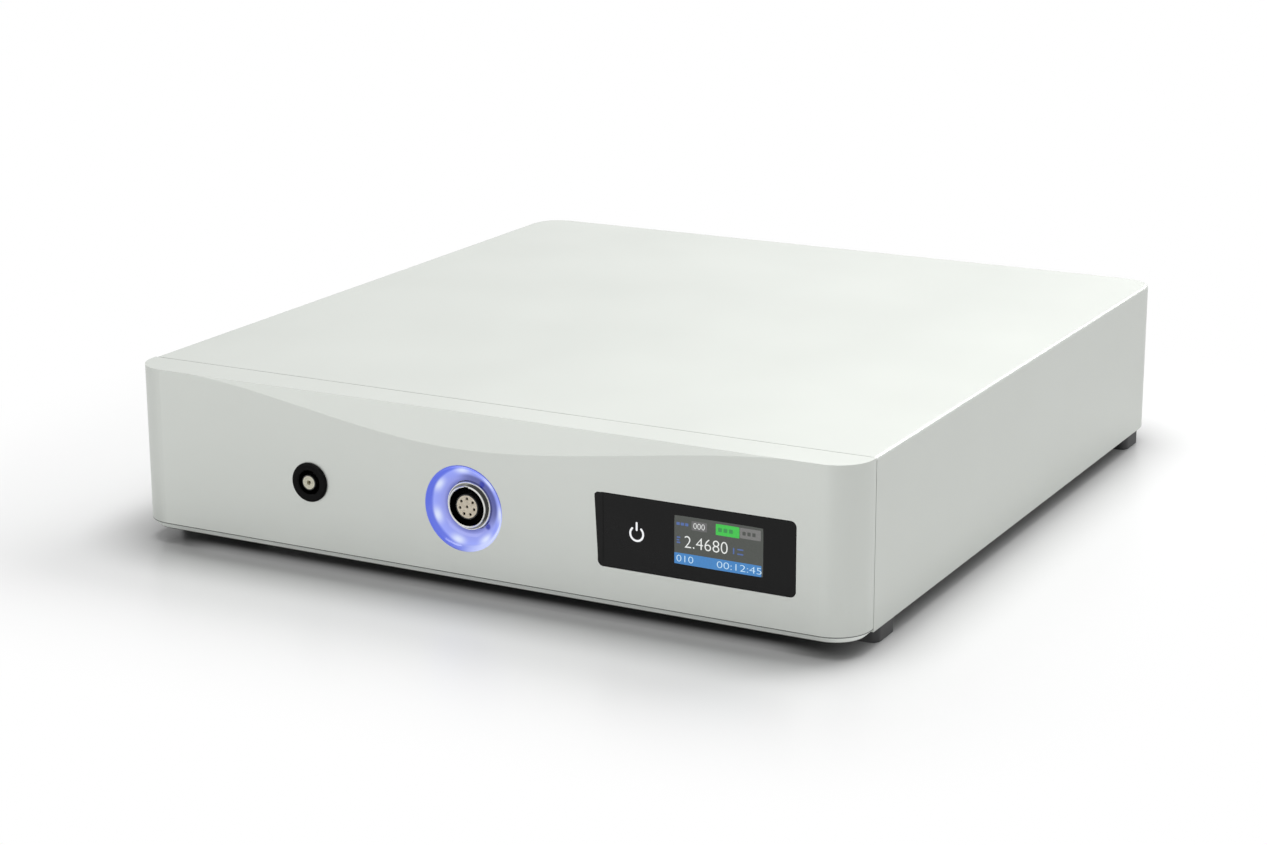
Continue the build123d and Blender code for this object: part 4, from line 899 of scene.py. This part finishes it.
gilt_nodes = ["inlet_pins", "bnc_contacts", "earth_socket", "earth_nut", "board_standoffs"]
for name, dark, light, rough, nodes in (
    ("gilt", (0.6, 0.42, 0.16), (0.76, 0.56, 0.24), 0.25, gilt_nodes),
    # Painted shade: the contacts of the cell socket are painted near black, for the shade of their
    # holes.
    ("contacts_painted_shade", (0.03, 0.025, 0.02), (0.05, 0.042, 0.03), 0.5, ["cell_socket_contacts"]),
    ("gilt_dull", (0.5, 0.47, 0.36), (0.6, 0.57, 0.44), 0.45, ["sense_socket_contact"]),
):
    gilt = clouded(
        name, dark, light, rough, grain_size=0.2 * MM, cloud_size=1.0 * MM, depth=0.003 * MM
    )
    dress(gilt, *nodes)

gloss_black = moulded(
    "socket_black",
    dark=(0.003, 0.003, 0.003),
    light=(0.005, 0.005, 0.005),
    rough=0.14,
    grain_size=0.6 * MM,
    depth=0.004 * MM,
    cloud_size=4 * MM,
    specular=0.06,
)
dress(gloss_black, "sense_socket_body")
white_insulator = moulded(
    "insulator_white",
    dark=(0.74, 0.74, 0.71),
    light=(0.82, 0.82, 0.79),
    rough=0.4,
    grain_size=0.3 * MM,
    depth=0.01 * MM,
    cloud_size=2 * MM,
)
dress(white_insulator, "bnc_insulators")
tin = clouded(
    "tinned_steel",
    dark=(0.55, 0.55, 0.54),
    light=(0.68, 0.68, 0.66),
    rough=0.3,
    grain_size=0.4 * MM,
    cloud_size=6 * MM,
    depth=0.008 * MM,
)
dress(tin, "measurement_shield", "network_socket", "usb_socket")


# Boards and what they carry
# Green solder mask over copper tracks, black finned heat sinks, a ferrite
# transformer, sleeved capacitors, moulded terminals, ribbons and wires.
def board_material():
    """Solder mask with the tracks under it: the narrow lines of a brick pattern, whose every
    third row is offset and every fourth squashed."""
    material, tree, shader = new_material("solder_mask")
    place = add_node(tree, "ShaderNodeTexCoord")
    tracks = add_node(
        tree,
        "ShaderNodeTexBrick",
        {"offset": 0.37, "offset_frequency": 3, "squash": 0.6, "squash_frequency": 4},
        Vector=place.outputs["Object"],
        Color1=(0.02, 0.13, 0.06, 1),
        Color2=(0.03, 0.17, 0.08, 1),
        Mortar=(0.06, 0.27, 0.12, 1),
        Scale=1.0,
        Mortar_Size=0.25 * MM,
        Brick_Width=11 * MM,
        Row_Height=1.6 * MM,
    )
    tree.links.new(tracks.outputs["Color"], shader.inputs["Base Color"])
    speck = grain(tree, 1.2 * MM, 2.0)
    tree.links.new(between(tree, speck, 0.25, 0.4), shader.inputs["Roughness"])
    roughen(tree, shader, tracks.outputs["Fac"], 0.03 * MM, strength=0.6)
    return material


dress(
    board_material(),
    "display_board",
    "led_board",
    "measurement_board",
    "main_board",
    "supply_board",
)

sink_black = clouded(
    "sink_black",
    dark=(0.04, 0.04, 0.045),
    light=(0.06, 0.06, 0.068),
    rough=0.45,
    grain_size=0.3 * MM,
    cloud_size=6 * MM,
    depth=0.01 * MM,
    metallic=0.6,
)
dress(sink_black, "processor_heat_sink", "supply_heat_sink")

ribbons = ["cell_flex", "display_ribbon", "board_link"]
# Each row: name, dark and light tone, roughness, size and depth of the grain in mm, nodes.
for name, dark, light, rough, size, depth, *nodes in (
    ("module_black", (0.03, 0.035, 0.045), (0.05, 0.055, 0.07), 0.3, 0.5, 0.005, "lcd_module"),
    ("ferrite", (0.06, 0.06, 0.065), (0.1, 0.1, 0.105), 0.55, 0.3, 0.02, "supply_transformer"),
    ("capacitor_sleeve", (0.05, 0.07, 0.22), (0.07, 0.09, 0.3), 0.35, 0.5, 0.006, "supply_capacitors"),
    ("terminal_green", (0.05, 0.28, 0.11), (0.08, 0.36, 0.15), 0.4, 0.3, 0.01, "supply_terminals"),
    ("ribbon_amber", (0.42, 0.2, 0.05), (0.55, 0.29, 0.09), 0.3, 0.4, 0.006, *ribbons),
    ("wire_sleeve", (0.05, 0.1, 0.35), (0.08, 0.14, 0.45), 0.4, 0.3, 0.008, "mains_wires"),
):
    dress(moulded(name, dark, light, rough, size * MM, depth * MM), *nodes)
